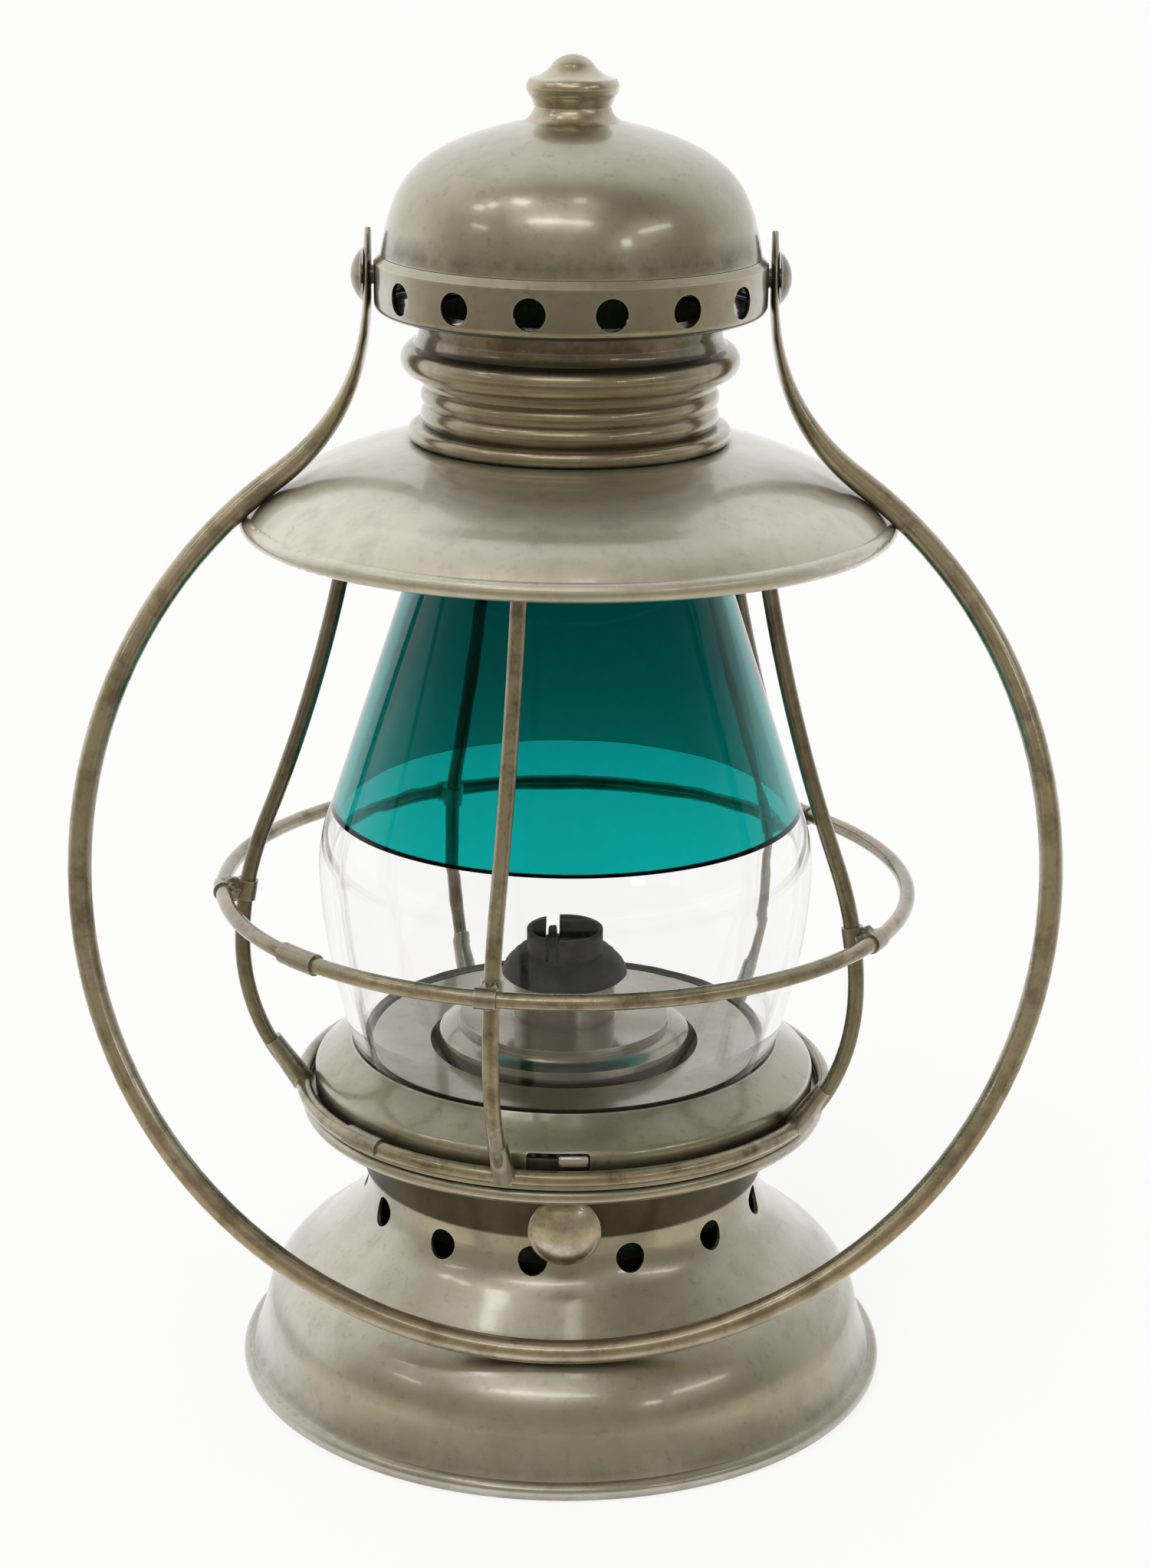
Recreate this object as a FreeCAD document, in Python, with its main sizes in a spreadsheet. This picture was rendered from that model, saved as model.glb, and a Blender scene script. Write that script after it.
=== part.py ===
import FreeCAD, Part
import Sketcher
import math
import os
import re

# Kerosene hand lantern of nickelled brass: bell base with fount and burner, wire guard round
# a two-colour globe, spun hat with a vented chimney cap, and a swinging bail.
# Millimetres, +Z up, origin under the middle of the base. The wick knob faces -Y.

# Every size below can be set by itself. Heights are steps, each above the one before it.
SIZES = {
    # Sheet, wire and clearances
    "wall": 0.8,
    "glass": 2.4,
    "guard_wire": 3.2,
    "bail_wire": 4.7,
    "fit": 0.05,
    "turn_gap": 0.35,
    # Bell base
    "rim_radius": 68.0,
    "rim_roll": 1.9,
    "foot_radius": 62.7,
    "foot_rise": 14.0,
    "foot_hollow": 0.4,
    "shoulder_radius": 53.5,
    "shoulder_rise": 11.0,
    "shoulder_swell": 1.5,
    "flank_radius": 44.8,
    "flank_rise": 8.0,
    "neck_radius": 41.0,
    "throat_rise": 7.5,
    "throat_hollow": 0.75,
    "base_vent": 6.0,
    "base_vent_drop": 1.3,
    "base_vent_turn": -8.2,
    "floor_lift": 1.2,
    # Base collar and its bayonet
    "skirt_lift": 3.8,
    "bead_radius": 54.65,
    "bead_roll": 1.55,
    "lug_length": 6.0,
    "lug_height": 2.8,
    "lug_reach": 1.75,
    "lug_turn": 6.5,
    "lug_middle": 2.0,
    # Wick drive
    "shaft_lift": 5.1,
    "shaft_radius": 0.9,
    "shaft_offset": 0.45,
    "knob_radius": 7.4,
    "knob_thickness": 1.5,
    "knob_swell": 2.2,
    "knob_hub_radius": 2.3,
    "knob_stand": 8.0,
    "knob_clear": 0.35,
    "bush_radius": 2.4,
    "bush_flange": 4.0,
    "spur_tip": 1.9,
    "spur_root": 1.25,
    "spur_width": 1.4,
    "spur_spacing": 5.0,
    # Fount and burner
    "air_gap": 4.4,
    "fount_below_shaft": 7.4,
    "fount_shoulder": 6.0,
    "fount_swell": 1.5,
    "fount_mouth": 11.0,
    "mount_land": 3.0,
    "mount_height": 3.0,
    "burner_radius": 10.5,
    "dish_radius": 26.0,
    "dish_step": 21.8,
    "dish_above_plate": 9.4,
    "dish_depth": 8.0,
    "dish_drop": 3.0,
    "dish_swell": 0.3,
    "cap_above_dish": 8.4,
    "cap_radius": 13.0,
    "cap_rise": 4.2,
    "cap_swell": 1.2,
    "cheek_radius": 7.9,
    "cheek_rise": 4.4,
    "wick_width": 10.0,
    "wick_thickness": 2.0,
    "wick_show": 4.2,
    "wick_room": 0.4,
    "wick_sweep": 8.0,
    # Globe plate
    "plate_inset": 2.65,
    "plate_height": 7.0,
    "plate_edge": 0.9,
    "plate_lip": 1.75,
    "plate_round": 0.24,
    "plate_rise": 4.8,
    "plate_hole": 28.0,
    "plate_dip": 0.8,
    "seat_depth": 1.2,
    "seat_room": 0.8,
    "slot_height": 3.4,
    "slot_below_top": 2.2,
    "slot_corner": 0.7,
    # Globe
    "globe_foot": 43.5,
    "globe_belly": 50.65,
    "globe_belly_rise": 38.7,
    "globe_foot_swell": 1.5,
    "tint_radius": 48.0,
    "tint_lift": 12.5,
    "tint_swell": 0.7,
    "globe_mouth": 28.8,
    # Guard
    "guard_ring": 54.5,
    "guard_height": 119.2,
    "guard_belly_lift": 30.8,
    "guard_bend_lift": 57.0,
    "guard_bend": 69.0,
    "guard_top": 41.4,
    "guard_top_gap": 0.5,
    "guard_turn": -12.0,
    "foot_out": 1.15,
    "foot_up": 1.3,
    "foot_length": 11.5,
    "foot_socket": 2.45,
    "foot_tip": 1.95,
    "hoop_radius": 70.2,
    "hoop_stand": 3.7,
    "hoop_lift": 42.7,
    "tie_radius": 2.15,
    "tie_sleeve": 2.05,
    "tie_length": 4.2,
    "tie_post": 1.35,
    "ferrule_radius": 2.15,
    "ferrule_length": 9.5,
    "ferrule_turn": -46.5,
    # Hat brim and globe retainer
    "brim_radius": 65.5,
    "brim_roll": 1.9,
    "brim_mid": 54.5,
    "brim_drop": 8.3,
    "brim_rise": 7.6,
    "brim_swell": 0.9,
    "brim_lip_swell": 0.8,
    "ledge_drop": 1.0,
    "finger_length": 7.0,
    "finger_slot": 3.0,
    # Chimney collar
    "chimney_bore": 27.4,
    "collar_foot": 32.0,
    "collar_foot_roll": 1.65,
    "rib_radius": 28.6,
    "rib_pitch": 3.7,
    "rib_swell": 0.85,
    "cove_rise": 2.3,
    "crown_bead": 6.2,
    "crown_swell": 3.4,
    "crown_lip": 0.9,
    "crown_cove": 3.4,
    "crown_hollow": 0.45,
    "chimney_neck": 29.9,
    "chimney_neck_rise": 6.0,
    # Vent band, dome and finial
    "band_radius": 38.5,
    "band_height": 9.7,
    "band_edge": 2.1,
    "band_shoulder": 1.4,
    "band_inset": 1.25,
    "band_vent": 6.2,
    "band_vent_lift": 5.0,
    "dome_wall_rise": 11.4,
    "dome_wall_inset": 3.05,
    "dome_wall_swell": 0.6,
    "dome_bend_rise": 9.0,
    "dome_bend_radius": 24.5,
    "dome_bend_swell": 2.4,
    "dome_top_rise": 4.6,
    "dome_top_swell": 0.7,
    "finial_foot": 11.4,
    "finial_foot_hollow": 0.9,
    "finial_waist": 7.43,
    "finial_waist_rise": 3.3,
    "finial_knob": 8.25,
    "finial_knob_lift": 1.9,
    "finial_knob_height": 3.4,
    "finial_swell": 0.75,
    "finial_hollow": 0.6,
    "finial_tip": 3.8,
    "finial_tip_lift": 2.9,
    "finial_tip_rise": 1.6,
    "stud_radius": 3.0,
    # Bail
    "pivot_lift": 6.8,
    "rivet_radius": 1.9,
    "rivet_head": 5.15,
    "rivet_swell": 2.3,
    "rivet_burr": 2.7,
    "bail_lean": 15.4,
    "bail_clear": 2.0,
    "bail_rest": 0.6,
    "paddle_run": 0.5,
    "paddle_width": 9.6,
    "paddle_thickness": 1.8,
    "paddle_tip": 9.0,
}

# Places that follow from the sizes, in the order they are worked out.
PLACES = {
    "press": "fit / 5",
    "rim_centre": "rim_radius - rim_roll",
    "rim_height": "rim_roll * cos(30)",
    "foot": "foot_rise",
    "shoulder": "foot + shoulder_rise",
    "flank": "shoulder + flank_rise",
    "neck": "flank + throat_rise",
    "skirt": "neck + skirt_lift",
    "shaft": "skirt + shaft_lift",
    "flange": "shaft + knob_radius + knob_clear",
    "bead": "flange + bead_roll",
    "bead_centre": "bead_radius - bead_roll",
    "skirt_radius": "neck_radius + fit + wall",
    "flare": "(bead_centre - skirt_radius) / 2",
    "neck_top": "flange - flare",
    "bush_rise": "min(max(0; shaft + bush_flange - neck_top); flare)",
    "bush_seat": "skirt_radius + fit + flare - sqrt(flare ^ 2 - bush_rise ^ 2)",
    "plate_radius": "bead_radius - plate_inset",
    "spigot_radius": "plate_radius - wall - turn_gap",
    "plate_foot": "bead + bead_roll + turn_gap",
    "plate_top": "plate_foot + plate_height",
    "spigot_top": "plate_top - wall * 2 - turn_gap",
    "plate_crest": "plate_top + plate_rise",
    "seat": "plate_crest - seat_depth",
    "slot": "plate_top - slot_below_top",
    "lug_travel": "spigot_radius * lug_turn * pi / 180",
    "seat_in": "globe_foot - glass - seat_room",
    "seat_out": "globe_foot + seat_room",
    "ring": "plate_foot + wall + guard_wire / 2",
    "hoop": "ring + hoop_lift",
    "floor": "floor_lift + wall",
    "fount_radius": "neck_radius - wall - air_gap",
    "fount_top": "shaft - fount_below_shaft",
    "burner": "fount_top + mount_height",
    "dish": "plate_top + dish_above_plate",
    "cap": "dish + cap_above_dish",
    "cheek": "cap + cap_rise + wall",
    "cheek_top": "cheek + cheek_rise",
    "wick_top": "cap + cap_rise + wick_show",
    "tube_top": "cap + cap_rise",
    "tube_wall": "wall / 2",
    "wick_offset": "shaft_offset - spur_tip - fit * 2 - wick_thickness / 2",
    "knob_face": "skirt_radius + knob_stand",
    "knob_rim": "knob_radius - knob_thickness / 2",
    "belly": "seat + globe_belly_rise",
    "tint": "belly + tint_lift",
    "brim_edge": "ring + guard_height",
    "brim_shoulder": "brim_edge + brim_drop",
    "brim_top": "brim_shoulder + brim_rise",
    "brim_centre": "brim_radius - brim_roll",
    "brim_land": "collar_foot + fit",
    "ledge": "brim_edge - ledge_drop",
    "globe_top": "ledge - turn_gap / 2",
    "tint_slope": "(tint_radius - globe_mouth) / (globe_top - tint)",
    "finger_foot": "ledge - finger_length",
    "finger_radius": "globe_mouth + finger_length * tint_slope + turn_gap",
    "retainer": "globe_mouth + turn_gap",
    "rib": "brim_top + collar_foot_roll * 2",
    "cove": "rib + rib_pitch * 2",
    "crown": "cove + cove_rise",
    "chimney": "crown + crown_bead",
    "band": "chimney + chimney_neck_rise",
    "band_top": "band + band_height",
    "dome": "band_top + band_shoulder",
    "dome_radius": "band_radius - band_inset",
    "dome_bend": "dome + dome_wall_rise",
    "dome_crown": "dome_bend + dome_bend_rise",
    "finial": "dome_crown + dome_top_rise",
    "finial_neck": "finial + finial_waist_rise",
    "finial_ball": "finial_neck + finial_knob_lift",
    "finial_shoulder": "finial_ball + finial_knob_height",
    "finial_point": "finial_shoulder + finial_tip_lift",
    "pivot": "band + pivot_lift",
    # Guard wire: an arc up from the ring to the belly, inside the hoop, then two arcs in to the hat.
    "wire": "guard_wire / 2",
    "guard_belly": "hoop_radius - hoop_stand",
    "guard_foot": "guard_ring + foot_out",
    "guard_foot_lift": "ring + foot_up",
    "guard_belly_at": "ring + guard_belly_lift",
    "guard_low_in": "guard_belly - guard_foot",
    "guard_low_rise": "guard_belly_at - guard_foot_lift",
    "guard_low": "(guard_low_in ^ 2 + guard_low_rise ^ 2) / (2 * guard_low_in)",
    "guard_lean": "2 * atan2(guard_low_in; guard_low_rise) / 1deg",
    "bend_angle": "asin((guard_bend_lift - guard_belly_lift) / guard_bend) / 1deg",
    "bend_radius": "guard_belly - guard_bend * (1 - cos(bend_angle))",
    "bend_at": "ring + guard_bend_lift",
    "brim_slope": "brim_rise / (brim_mid - brim_land)",
    "brim_under": "brim_top - wall + brim_swell",
    "guard_top_at": "brim_under - (guard_top + wire - brim_land) * brim_slope - guard_top_gap",
    "top_in": "bend_radius - guard_top",
    "top_rise": "guard_top_at - bend_at",
    "top_chord": "sqrt(top_in ^ 2 + top_rise ^ 2)",
    "top_turn": "bend_angle - atan2(top_in; top_rise) / 1deg",
    "guard_reach": "top_chord / (2 * sin(top_turn))",
    "tie_angle": "asin((hoop_lift - guard_belly_lift) / guard_bend) / 1deg",
    "tie_at": "guard_belly - guard_bend * (1 - cos(tie_angle))",
    # Bail: it lies on the bell's flank and clears the brim.
    "flank_angle": "atan2(shoulder_radius - flank_radius; flank_rise) / 1deg",
    "flank_reach": "shoulder_radius * cos(flank_angle) - (pivot - shoulder) * sin(flank_angle)",
    "bail_drop": "(bail_wire / 2 + bail_rest + flank_reach) / sin(bail_lean - flank_angle)",
    "brim_depth": "pivot - brim_edge",
    "pass_depth": "brim_depth / cos(bail_lean)",
    "pass_out": "sqrt((brim_radius + bail_wire / 2 + bail_clear) ^ 2 - (brim_depth * tan(bail_lean)) ^ 2)",
    "bail_span": "bail_drop - pass_depth",
    "bail_hoop": "(pass_out ^ 2 + bail_span ^ 2) / (2 * bail_span)",
    "bail_centre": "bail_drop - bail_hoop",
    "arm": "band_radius + turn_gap + paddle_thickness / 2",
    "rivet_seat": "arm + paddle_thickness / 2 + fit * 2",
    "arm_depth": "rivet_head + paddle_run",
    "bail_bend": "((bail_centre - arm_depth) ^ 2 / (bail_hoop - arm) - bail_hoop - arm) / 2",
    "arm_turn": "acos((arm + bail_bend) / (bail_hoop + bail_bend)) / 1deg",
}

doc = FreeCAD.newDocument("lantern")
sheet = doc.addObject("Spreadsheet::Sheet", "size")
places = doc.addObject("App::VarSet", "at")
UPRIGHTS = 5
LUGS = 3
BASE_VENTS = 13
BAND_VENT_PITCH = 23
BAND_VENTS = 6
FINGERS = 6
SPUR_TEETH = 9

# Rise of an arc over its chord: shares of the radius, and of the width of a nearly half-round edge.
QUARTER = str(1 - math.cos(math.radians(45)))
SIXTH = str(1 - math.cos(math.radians(30)))
ROUND_EDGE = "0.4"

# Share of the wall by which the inside of a sloping sheet is set over, and set down.
SLOPE = "0.7"

# Bail arm, from the round wire to the tip: place along the reverse bend or the straight end,
# then how far the wire has flattened there, or the width and thickness as shares of the paddle.
ARM_BEND = ((1.0, 0.0), (0.72, 0.25), (0.4, 0.65), (0.0, 1.0))
ARM_END = ((0.35, 0.98, 1.0), (0.75, 0.75, 0.9), (1.0, 0.3, 0.72))


def tie(text):
    """Turn plain size and place names into references to the sheet and the places."""
    def refer(match):
        word = match.group(0)
        if word in SIZES:
            return "size." + word
        return "at." + word if word in PLACES else word
    return re.sub(r"[a-z_]+[a-z_0-9]*", refer, text)


def number(text):
    """The present value of an expression in sizes and places."""
    value = sheet.evalExpression(tie(text))
    return float(getattr(value, "Value", value))


def bind(thing, prop, text):
    thing.setExpression(prop, tie(text))


def write_sizes():
    for row, (alias, value) in enumerate(SIZES.items(), start=1):
        cell = "B%d" % row
        sheet.set("A%d" % row, alias)
        sheet.set(cell, str(value))
        sheet.setAlias(cell, alias)
    doc.recompute()
    for name, text in PLACES.items():
        places.addProperty("App::PropertyFloat", name)
        bind(places, name, text)
    doc.recompute()


def plane(body, role):
    return [(feature, "") for feature in body.Origin.OriginFeatures if feature.Role == role]


def new_sketch(body, name, role="XZ_Plane"):
    sketch = body.newObject("Sketcher::SketchObject", name)
    sketch.AttachmentSupport = plane(body, role)
    sketch.MapMode = "FlatFace"
    return sketch


def pin_point(sketch, edge, end, across, up):
    """Hold one end of an edge at (across, up) from the sketch's origin."""
    for kind, text, axis in (("DistanceX", across, -2), ("DistanceY", up, -1)):
        value = number(text)
        if text == "0":
            sketch.addConstraint(Sketcher.Constraint("PointOnObject", edge, end, axis))
        else:
            index = sketch.addConstraint(Sketcher.Constraint(kind, -1, 1, edge, end, value))
            bind(sketch, "Constraints[%d]" % index, text)


def outline(sketch, points, closed=True):
    """Draw an outline. A point is (across, up) or (across, up, swell of the edge after it)."""
    corners = [(point[0], point[1], point[2] if len(point) > 2 else None) for point in points]
    count = len(corners)
    edges = count if closed else count - 1
    first = sketch.GeometryCount
    ends = []
    for step in range(edges):
        corner = corners[step]
        after = corners[(step + 1) % count]
        start = FreeCAD.Vector(number(corner[0]), number(corner[1]), 0)
        stop = FreeCAD.Vector(number(after[0]), number(after[1]), 0)
        if corner[2] is None:
            sketch.addGeometry(Part.LineSegment(start, stop))
            ends.append((1, 2))
            continue
        run = stop - start
        swell = number(corner[2])
        middle = (start + stop) * 0.5 + FreeCAD.Vector(run.y, -run.x, 0) * (swell / run.Length)
        edge = sketch.addGeometry(Part.Arc(start, middle, stop))
        forward = (sketch.getPoint(edge, 1) - start).Length < (sketch.getPoint(edge, 2) - start).Length
        ends.append((1, 2) if forward else (2, 1))
    for step in range(edges if closed else edges - 1):
        after = (step + 1) % count
        sketch.addConstraint(Sketcher.Constraint(
            "Coincident", first + step, ends[step][1], first + after, ends[after][0]))
    for step in range(edges):
        pin_point(sketch, first + step, ends[step][0], corners[step][0], corners[step][1])
    if not closed:
        pin_point(sketch, first + edges - 1, ends[-1][1], corners[-1][0], corners[-1][1])
    for step in range(edges):
        corner = corners[step]
        if corner[2] is None:
            continue
        after = corners[(step + 1) % count]
        chord = "((%s) - (%s)) ^ 2 + ((%s) - (%s)) ^ 2" % (after[0], corner[0], after[1], corner[1])
        radius = "(%s) / (8 * abs(%s)) + abs(%s) / 2" % (chord, corner[2], corner[2])
        index = sketch.addConstraint(Sketcher.Constraint("Radius", first + step, number(radius)))
        bind(sketch, "Constraints[%d]" % index, radius)


def dome_swell(radius, rise):
    """Swell of an arc that rises over a radius and crosses the axis square."""
    chord = "sqrt((%s) ^ 2 + (%s) ^ 2)" % (radius, rise)
    return "(%s ^ 2 / (2 * (%s)) * (1 - (%s) / %s))" % (chord, rise, radius, chord)


def turned(label, points, axis="V_Axis", role="XZ_Plane"):
    """A body spun from one outline, about the upright axis unless said otherwise."""
    body = doc.addObject("PartDesign::Body", label)
    sketch = new_sketch(body, label + "_profile", role)
    outline(sketch, points)
    spin = body.newObject("PartDesign::Revolution", label + "_spin")
    spin.Profile = sketch
    spin.ReferenceAxis = (sketch, [axis])
    spin.Angle = 360
    doc.recompute()
    return body


def padded(label, points, length, lift, role="XY_Plane"):
    """A body pushed up from one outline, starting at a given lift off the plane."""
    body = doc.addObject("PartDesign::Body", label)
    sketch = new_sketch(body, label + "_section", role)
    bind(sketch, "AttachmentOffset.Base.z", lift)
    outline(sketch, points)
    pad = body.newObject("PartDesign::Pad", label + "_pad")
    pad.Profile = sketch
    bind(pad, "Length", length)
    doc.recompute()
    return body


def cut_front(body, name, draw, both=False, turn=None, depth=None):
    """Cut a sketched opening on the -Y side, to a depth from the axis, right out, or through both walls."""
    sketch = new_sketch(body, name + "_shape")
    if turn is not None:
        sketch.AttachmentOffset = FreeCAD.Placement(
            FreeCAD.Vector(), FreeCAD.Rotation(FreeCAD.Vector(0, 1, 0), 1))
        bind(sketch, "AttachmentOffset.Rotation.Angle", turn)
    draw(sketch)
    before = body.Shape.Volume
    pocket = body.newObject("PartDesign::Pocket", name)
    pocket.Profile = sketch
    pocket.Type = 1 if depth is None else 0
    if depth is not None:
        bind(pocket, "Length", depth)
    pocket.Reversed = True
    pocket.Midplane = both
    doc.recompute()
    if not body.Shape.Volume < before:
        raise RuntimeError(name + " cuts nothing")
    return pocket


def circle(across, up, radius):
    def draw(sketch):
        centre = FreeCAD.Vector(number(across), number(up), 0)
        edge = sketch.addGeometry(Part.Circle(centre, FreeCAD.Vector(0, 0, 1), number(radius)))
        pin_point(sketch, edge, 3, across, up)
        index = sketch.addConstraint(Sketcher.Constraint("Radius", edge, number(radius)))
        bind(sketch, "Constraints[%d]" % index, radius)
    return draw


def pattern(body, feature, count, sweep):
    """Repeat a feature about the upright axis, over the given sweep in degrees."""
    ring = body.newObject("PartDesign::PolarPattern", feature.Name + "_ring")
    ring.Originals = [feature]
    axis = [item for item in body.Origin.OriginFeatures if item.Role == "Z_Axis"][0]
    ring.Axis = (axis, [""])
    ring.Angle = sweep
    ring.Occurrences = count
    body.Tip = ring
    doc.recompute()


def torus(name, radius, section, height, sweep=360):
    """A ring of round wire lying level, or part of one when sweep is an expression."""
    ring = doc.addObject("Part::Torus", name)
    bind(ring, "Radius1", radius)
    bind(ring, "Radius2", section)
    bind(ring, "Placement.Base.z", height)
    if sweep != 360:
        bind(ring, "Angle3", sweep)
    return ring


def turn_about_z(thing, angle):
    """Turn a piece about the upright axis; 0 faces -Y and angles grow towards +X."""
    thing.Placement = FreeCAD.Placement(
        thing.Placement.Base, FreeCAD.Rotation(FreeCAD.Vector(0, 0, 1), 1))
    bind(thing, "Placement.Rotation.Angle", "(%s) - 90" % angle)


def cut(name, base, *tools):
    """Take tools away from a base, one after the other."""
    for step, tool in enumerate(tools):
        taken = doc.addObject("Part::Cut", name if step == len(tools) - 1 else "%s_cut_%d" % (name, step))
        taken.Base = base
        taken.Tool = tool
        base = taken
    return base


def group(name, things):
    gathered = doc.addObject("Part::Compound", name)
    gathered.Links = things
    return gathered


def base_bell():
    body = turned("base_bell", [
        ("rim_centre - rim_roll / 2", "0"),
        ("rim_centre + rim_roll / 2", "0", SIXTH + " * rim_roll"),
        ("rim_radius", "rim_height", QUARTER + " * rim_roll"),
        ("rim_centre", "rim_height + rim_roll", "-foot_hollow"),
        ("foot_radius", "foot", "shoulder_swell"),
        ("shoulder_radius", "shoulder"),
        ("flank_radius", "flank", "-throat_hollow"),
        ("neck_radius", "neck"),
        ("neck_radius", "neck_top"),
        ("neck_radius - wall", "neck_top"),
        ("neck_radius - wall", "neck", "throat_hollow"),
        ("flank_radius - wall * " + SLOPE, "flank - wall * " + SLOPE),
        ("shoulder_radius - wall * " + SLOPE, "shoulder - wall * " + SLOPE, "-shoulder_swell"),
        ("foot_radius - wall", "foot", "foot_hollow"),
        ("rim_centre - rim_height", "rim_height + rim_roll / 2", QUARTER + " * rim_roll"),
    ])
    cut_front(body, "bell_shaft_hole", circle("shaft_offset", "shaft", "bush_radius + fit"))
    vent = cut_front(body, "bell_vent", circle("0", "neck - base_vent_drop", "base_vent / 2"),
                     turn="base_vent_turn")
    pattern(body, vent, BASE_VENTS, 360)
    return body


def base_floor():
    return turned("base_floor", [
        ("0", "floor_lift"),
        ("rim_centre - rim_roll - fit", "floor_lift"),
        ("rim_centre - rim_roll - fit", "floor"),
        ("0", "floor"),
    ])


def base_collar():
    body = turned("base_collar", [
        ("neck_radius + fit", "skirt"),
        ("skirt_radius", "skirt"),
        ("skirt_radius", "neck_top", "-" + QUARTER + " * flare"),
        ("skirt_radius + flare", "flange"),
        ("bead_centre", "flange", QUARTER + " * bead_roll"),
        ("bead_radius", "bead", QUARTER + " * bead_roll"),
        ("bead_centre", "bead + bead_roll"),
        ("spigot_radius", "bead + bead_roll"),
        ("spigot_radius", "spigot_top"),
        ("spigot_radius - wall", "spigot_top"),
        ("spigot_radius - wall", "flange + wall"),
        ("skirt_radius + flare", "flange + wall", QUARTER + " * (flare + wall)"),
        ("neck_radius + fit", "neck_top"),
    ])
    cut_front(body, "collar_shaft_hole", circle("shaft_offset", "shaft", "bush_radius + fit"))
    return body


def bayonet_lugs():
    half = "(lug_length / 2 / spigot_radius * 180 / pi)"
    inner = "(spigot_radius + fit)"
    outer = "(spigot_radius + lug_reach)"
    body = padded("bayonet_lugs", [
        (inner + " * cos" + half, "-" + inner + " * sin" + half),
        (outer + " * cos" + half, "-" + outer + " * sin" + half, outer + " * (1 - cos" + half + ")"),
        (outer + " * cos" + half, outer + " * sin" + half),
        (inner + " * cos" + half, inner + " * sin" + half, "-" + inner + " * (1 - cos" + half + ")"),
    ], "lug_height", "slot - lug_height / 2")
    pattern(body, body.Tip, LUGS, 360)
    turn_about_z(body, "asin(lug_middle / spigot_radius) / 1deg")
    return body


def fount():
    return turned("fount", [
        ("0", "floor"),
        ("fount_radius", "floor"),
        ("fount_radius", "fount_top - fount_shoulder", "fount_swell"),
        ("fount_mouth + mount_land", "fount_top"),
        ("fount_mouth", "fount_top"),
        ("fount_mouth", "fount_top - wall"),
        ("fount_mouth + mount_land", "fount_top - wall", "-fount_swell"),
        ("fount_radius - wall", "fount_top - fount_shoulder - wall / 2"),
        ("fount_radius - wall", "floor + wall"),
        ("0", "floor + wall"),
    ])


def burner():
    mount = turned("burner_mount", [
        ("burner_radius - wall", "fount_top"),
        ("fount_mouth + mount_land - wall", "fount_top"),
        ("fount_mouth + mount_land - wall", "burner"),
        ("burner_radius - wall", "burner"),
    ])
    body = turned("burner_body", [
        ("burner_radius - wall", "burner"),
        ("burner_radius", "burner"),
        ("burner_radius", "cap"),
        ("burner_radius - wall", "cap"),
    ])
    cut_front(body, "burner_shaft_hole", circle("shaft_offset", "shaft", "shaft_radius + fit"))
    dish = turned("burner_dish", [
        ("burner_radius + fit", "dish - wall"),
        ("dish_step - wall", "dish - wall"),
        ("dish_step - wall", "dish - wall * 3"),
        ("dish_radius - wall", "dish - dish_drop - wall"),
        ("dish_radius - wall", "dish - dish_depth"),
        ("dish_radius", "dish - dish_depth"),
        ("dish_radius", "dish - dish_drop", "dish_swell"),
        ("dish_step", "dish - wall * 2"),
        ("dish_step", "dish"),
        ("burner_radius + fit", "dish"),
    ])
    cap = turned("burner_cap", [
        ("cheek_radius - wall", "cap"),
        ("cap_radius - wall", "cap"),
        ("cap_radius", "cap + wall", "cap_swell"),
        ("cheek_radius", "cheek"),
        ("cheek_radius", "cheek_top"),
        ("cheek_radius - wall", "cheek_top"),
    ])
    slot = [
        ("wick_offset - wick_thickness / 2 - wick_room", "cheek"),
        ("wick_offset + wick_thickness / 2 + wick_room", "cheek"),
        ("wick_offset + wick_thickness / 2 + wick_room", "cheek_top + wall"),
        ("wick_offset - wick_thickness / 2 - wick_room", "cheek_top + wall"),
    ]
    cut_front(cap, "cap_slot", lambda sketch: outline(sketch, slot), both=True)
    return [mount, body, dish, cap]


def rounded_strip(thickness, width):
    """Section of a flat strip with round edges, about the wick's middle plane."""
    low = "wick_offset - (%s) / 2" % thickness
    high = "wick_offset + (%s) / 2" % thickness
    side = "((%s) - (%s)) / 2" % (width, thickness)
    return [
        (low, "-" + side, "(%s) * %s" % (thickness, ROUND_EDGE)),
        (high, "-" + side),
        (high, side, "(%s) * %s" % (thickness, ROUND_EDGE)),
        (low, side),
    ]


def wick_parts():
    tube = doc.addObject("PartDesign::Body", "wick_tube")
    section = new_sketch(tube, "wick_tube_section", "XY_Plane")
    bind(section, "AttachmentOffset.Base.z", "shaft + spur_tip + wall")
    room = "wick_room"
    outline(section, rounded_strip("wick_thickness + %s + wall" % room, "wick_width + %s + wall" % room))
    outline(section, rounded_strip("wick_thickness + %s" % room, "wick_width + %s" % room))
    pad = tube.newObject("PartDesign::Pad", "wick_tube_pad")
    pad.Profile = section
    bind(pad, "Length", "tube_top - shaft - spur_tip - wall")
    wick = padded("wick", rounded_strip("wick_thickness", "wick_width"),
                  "wick_top - floor - wall - wick_sweep", "floor + wall + wick_sweep")
    return [tube, wick]


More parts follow.
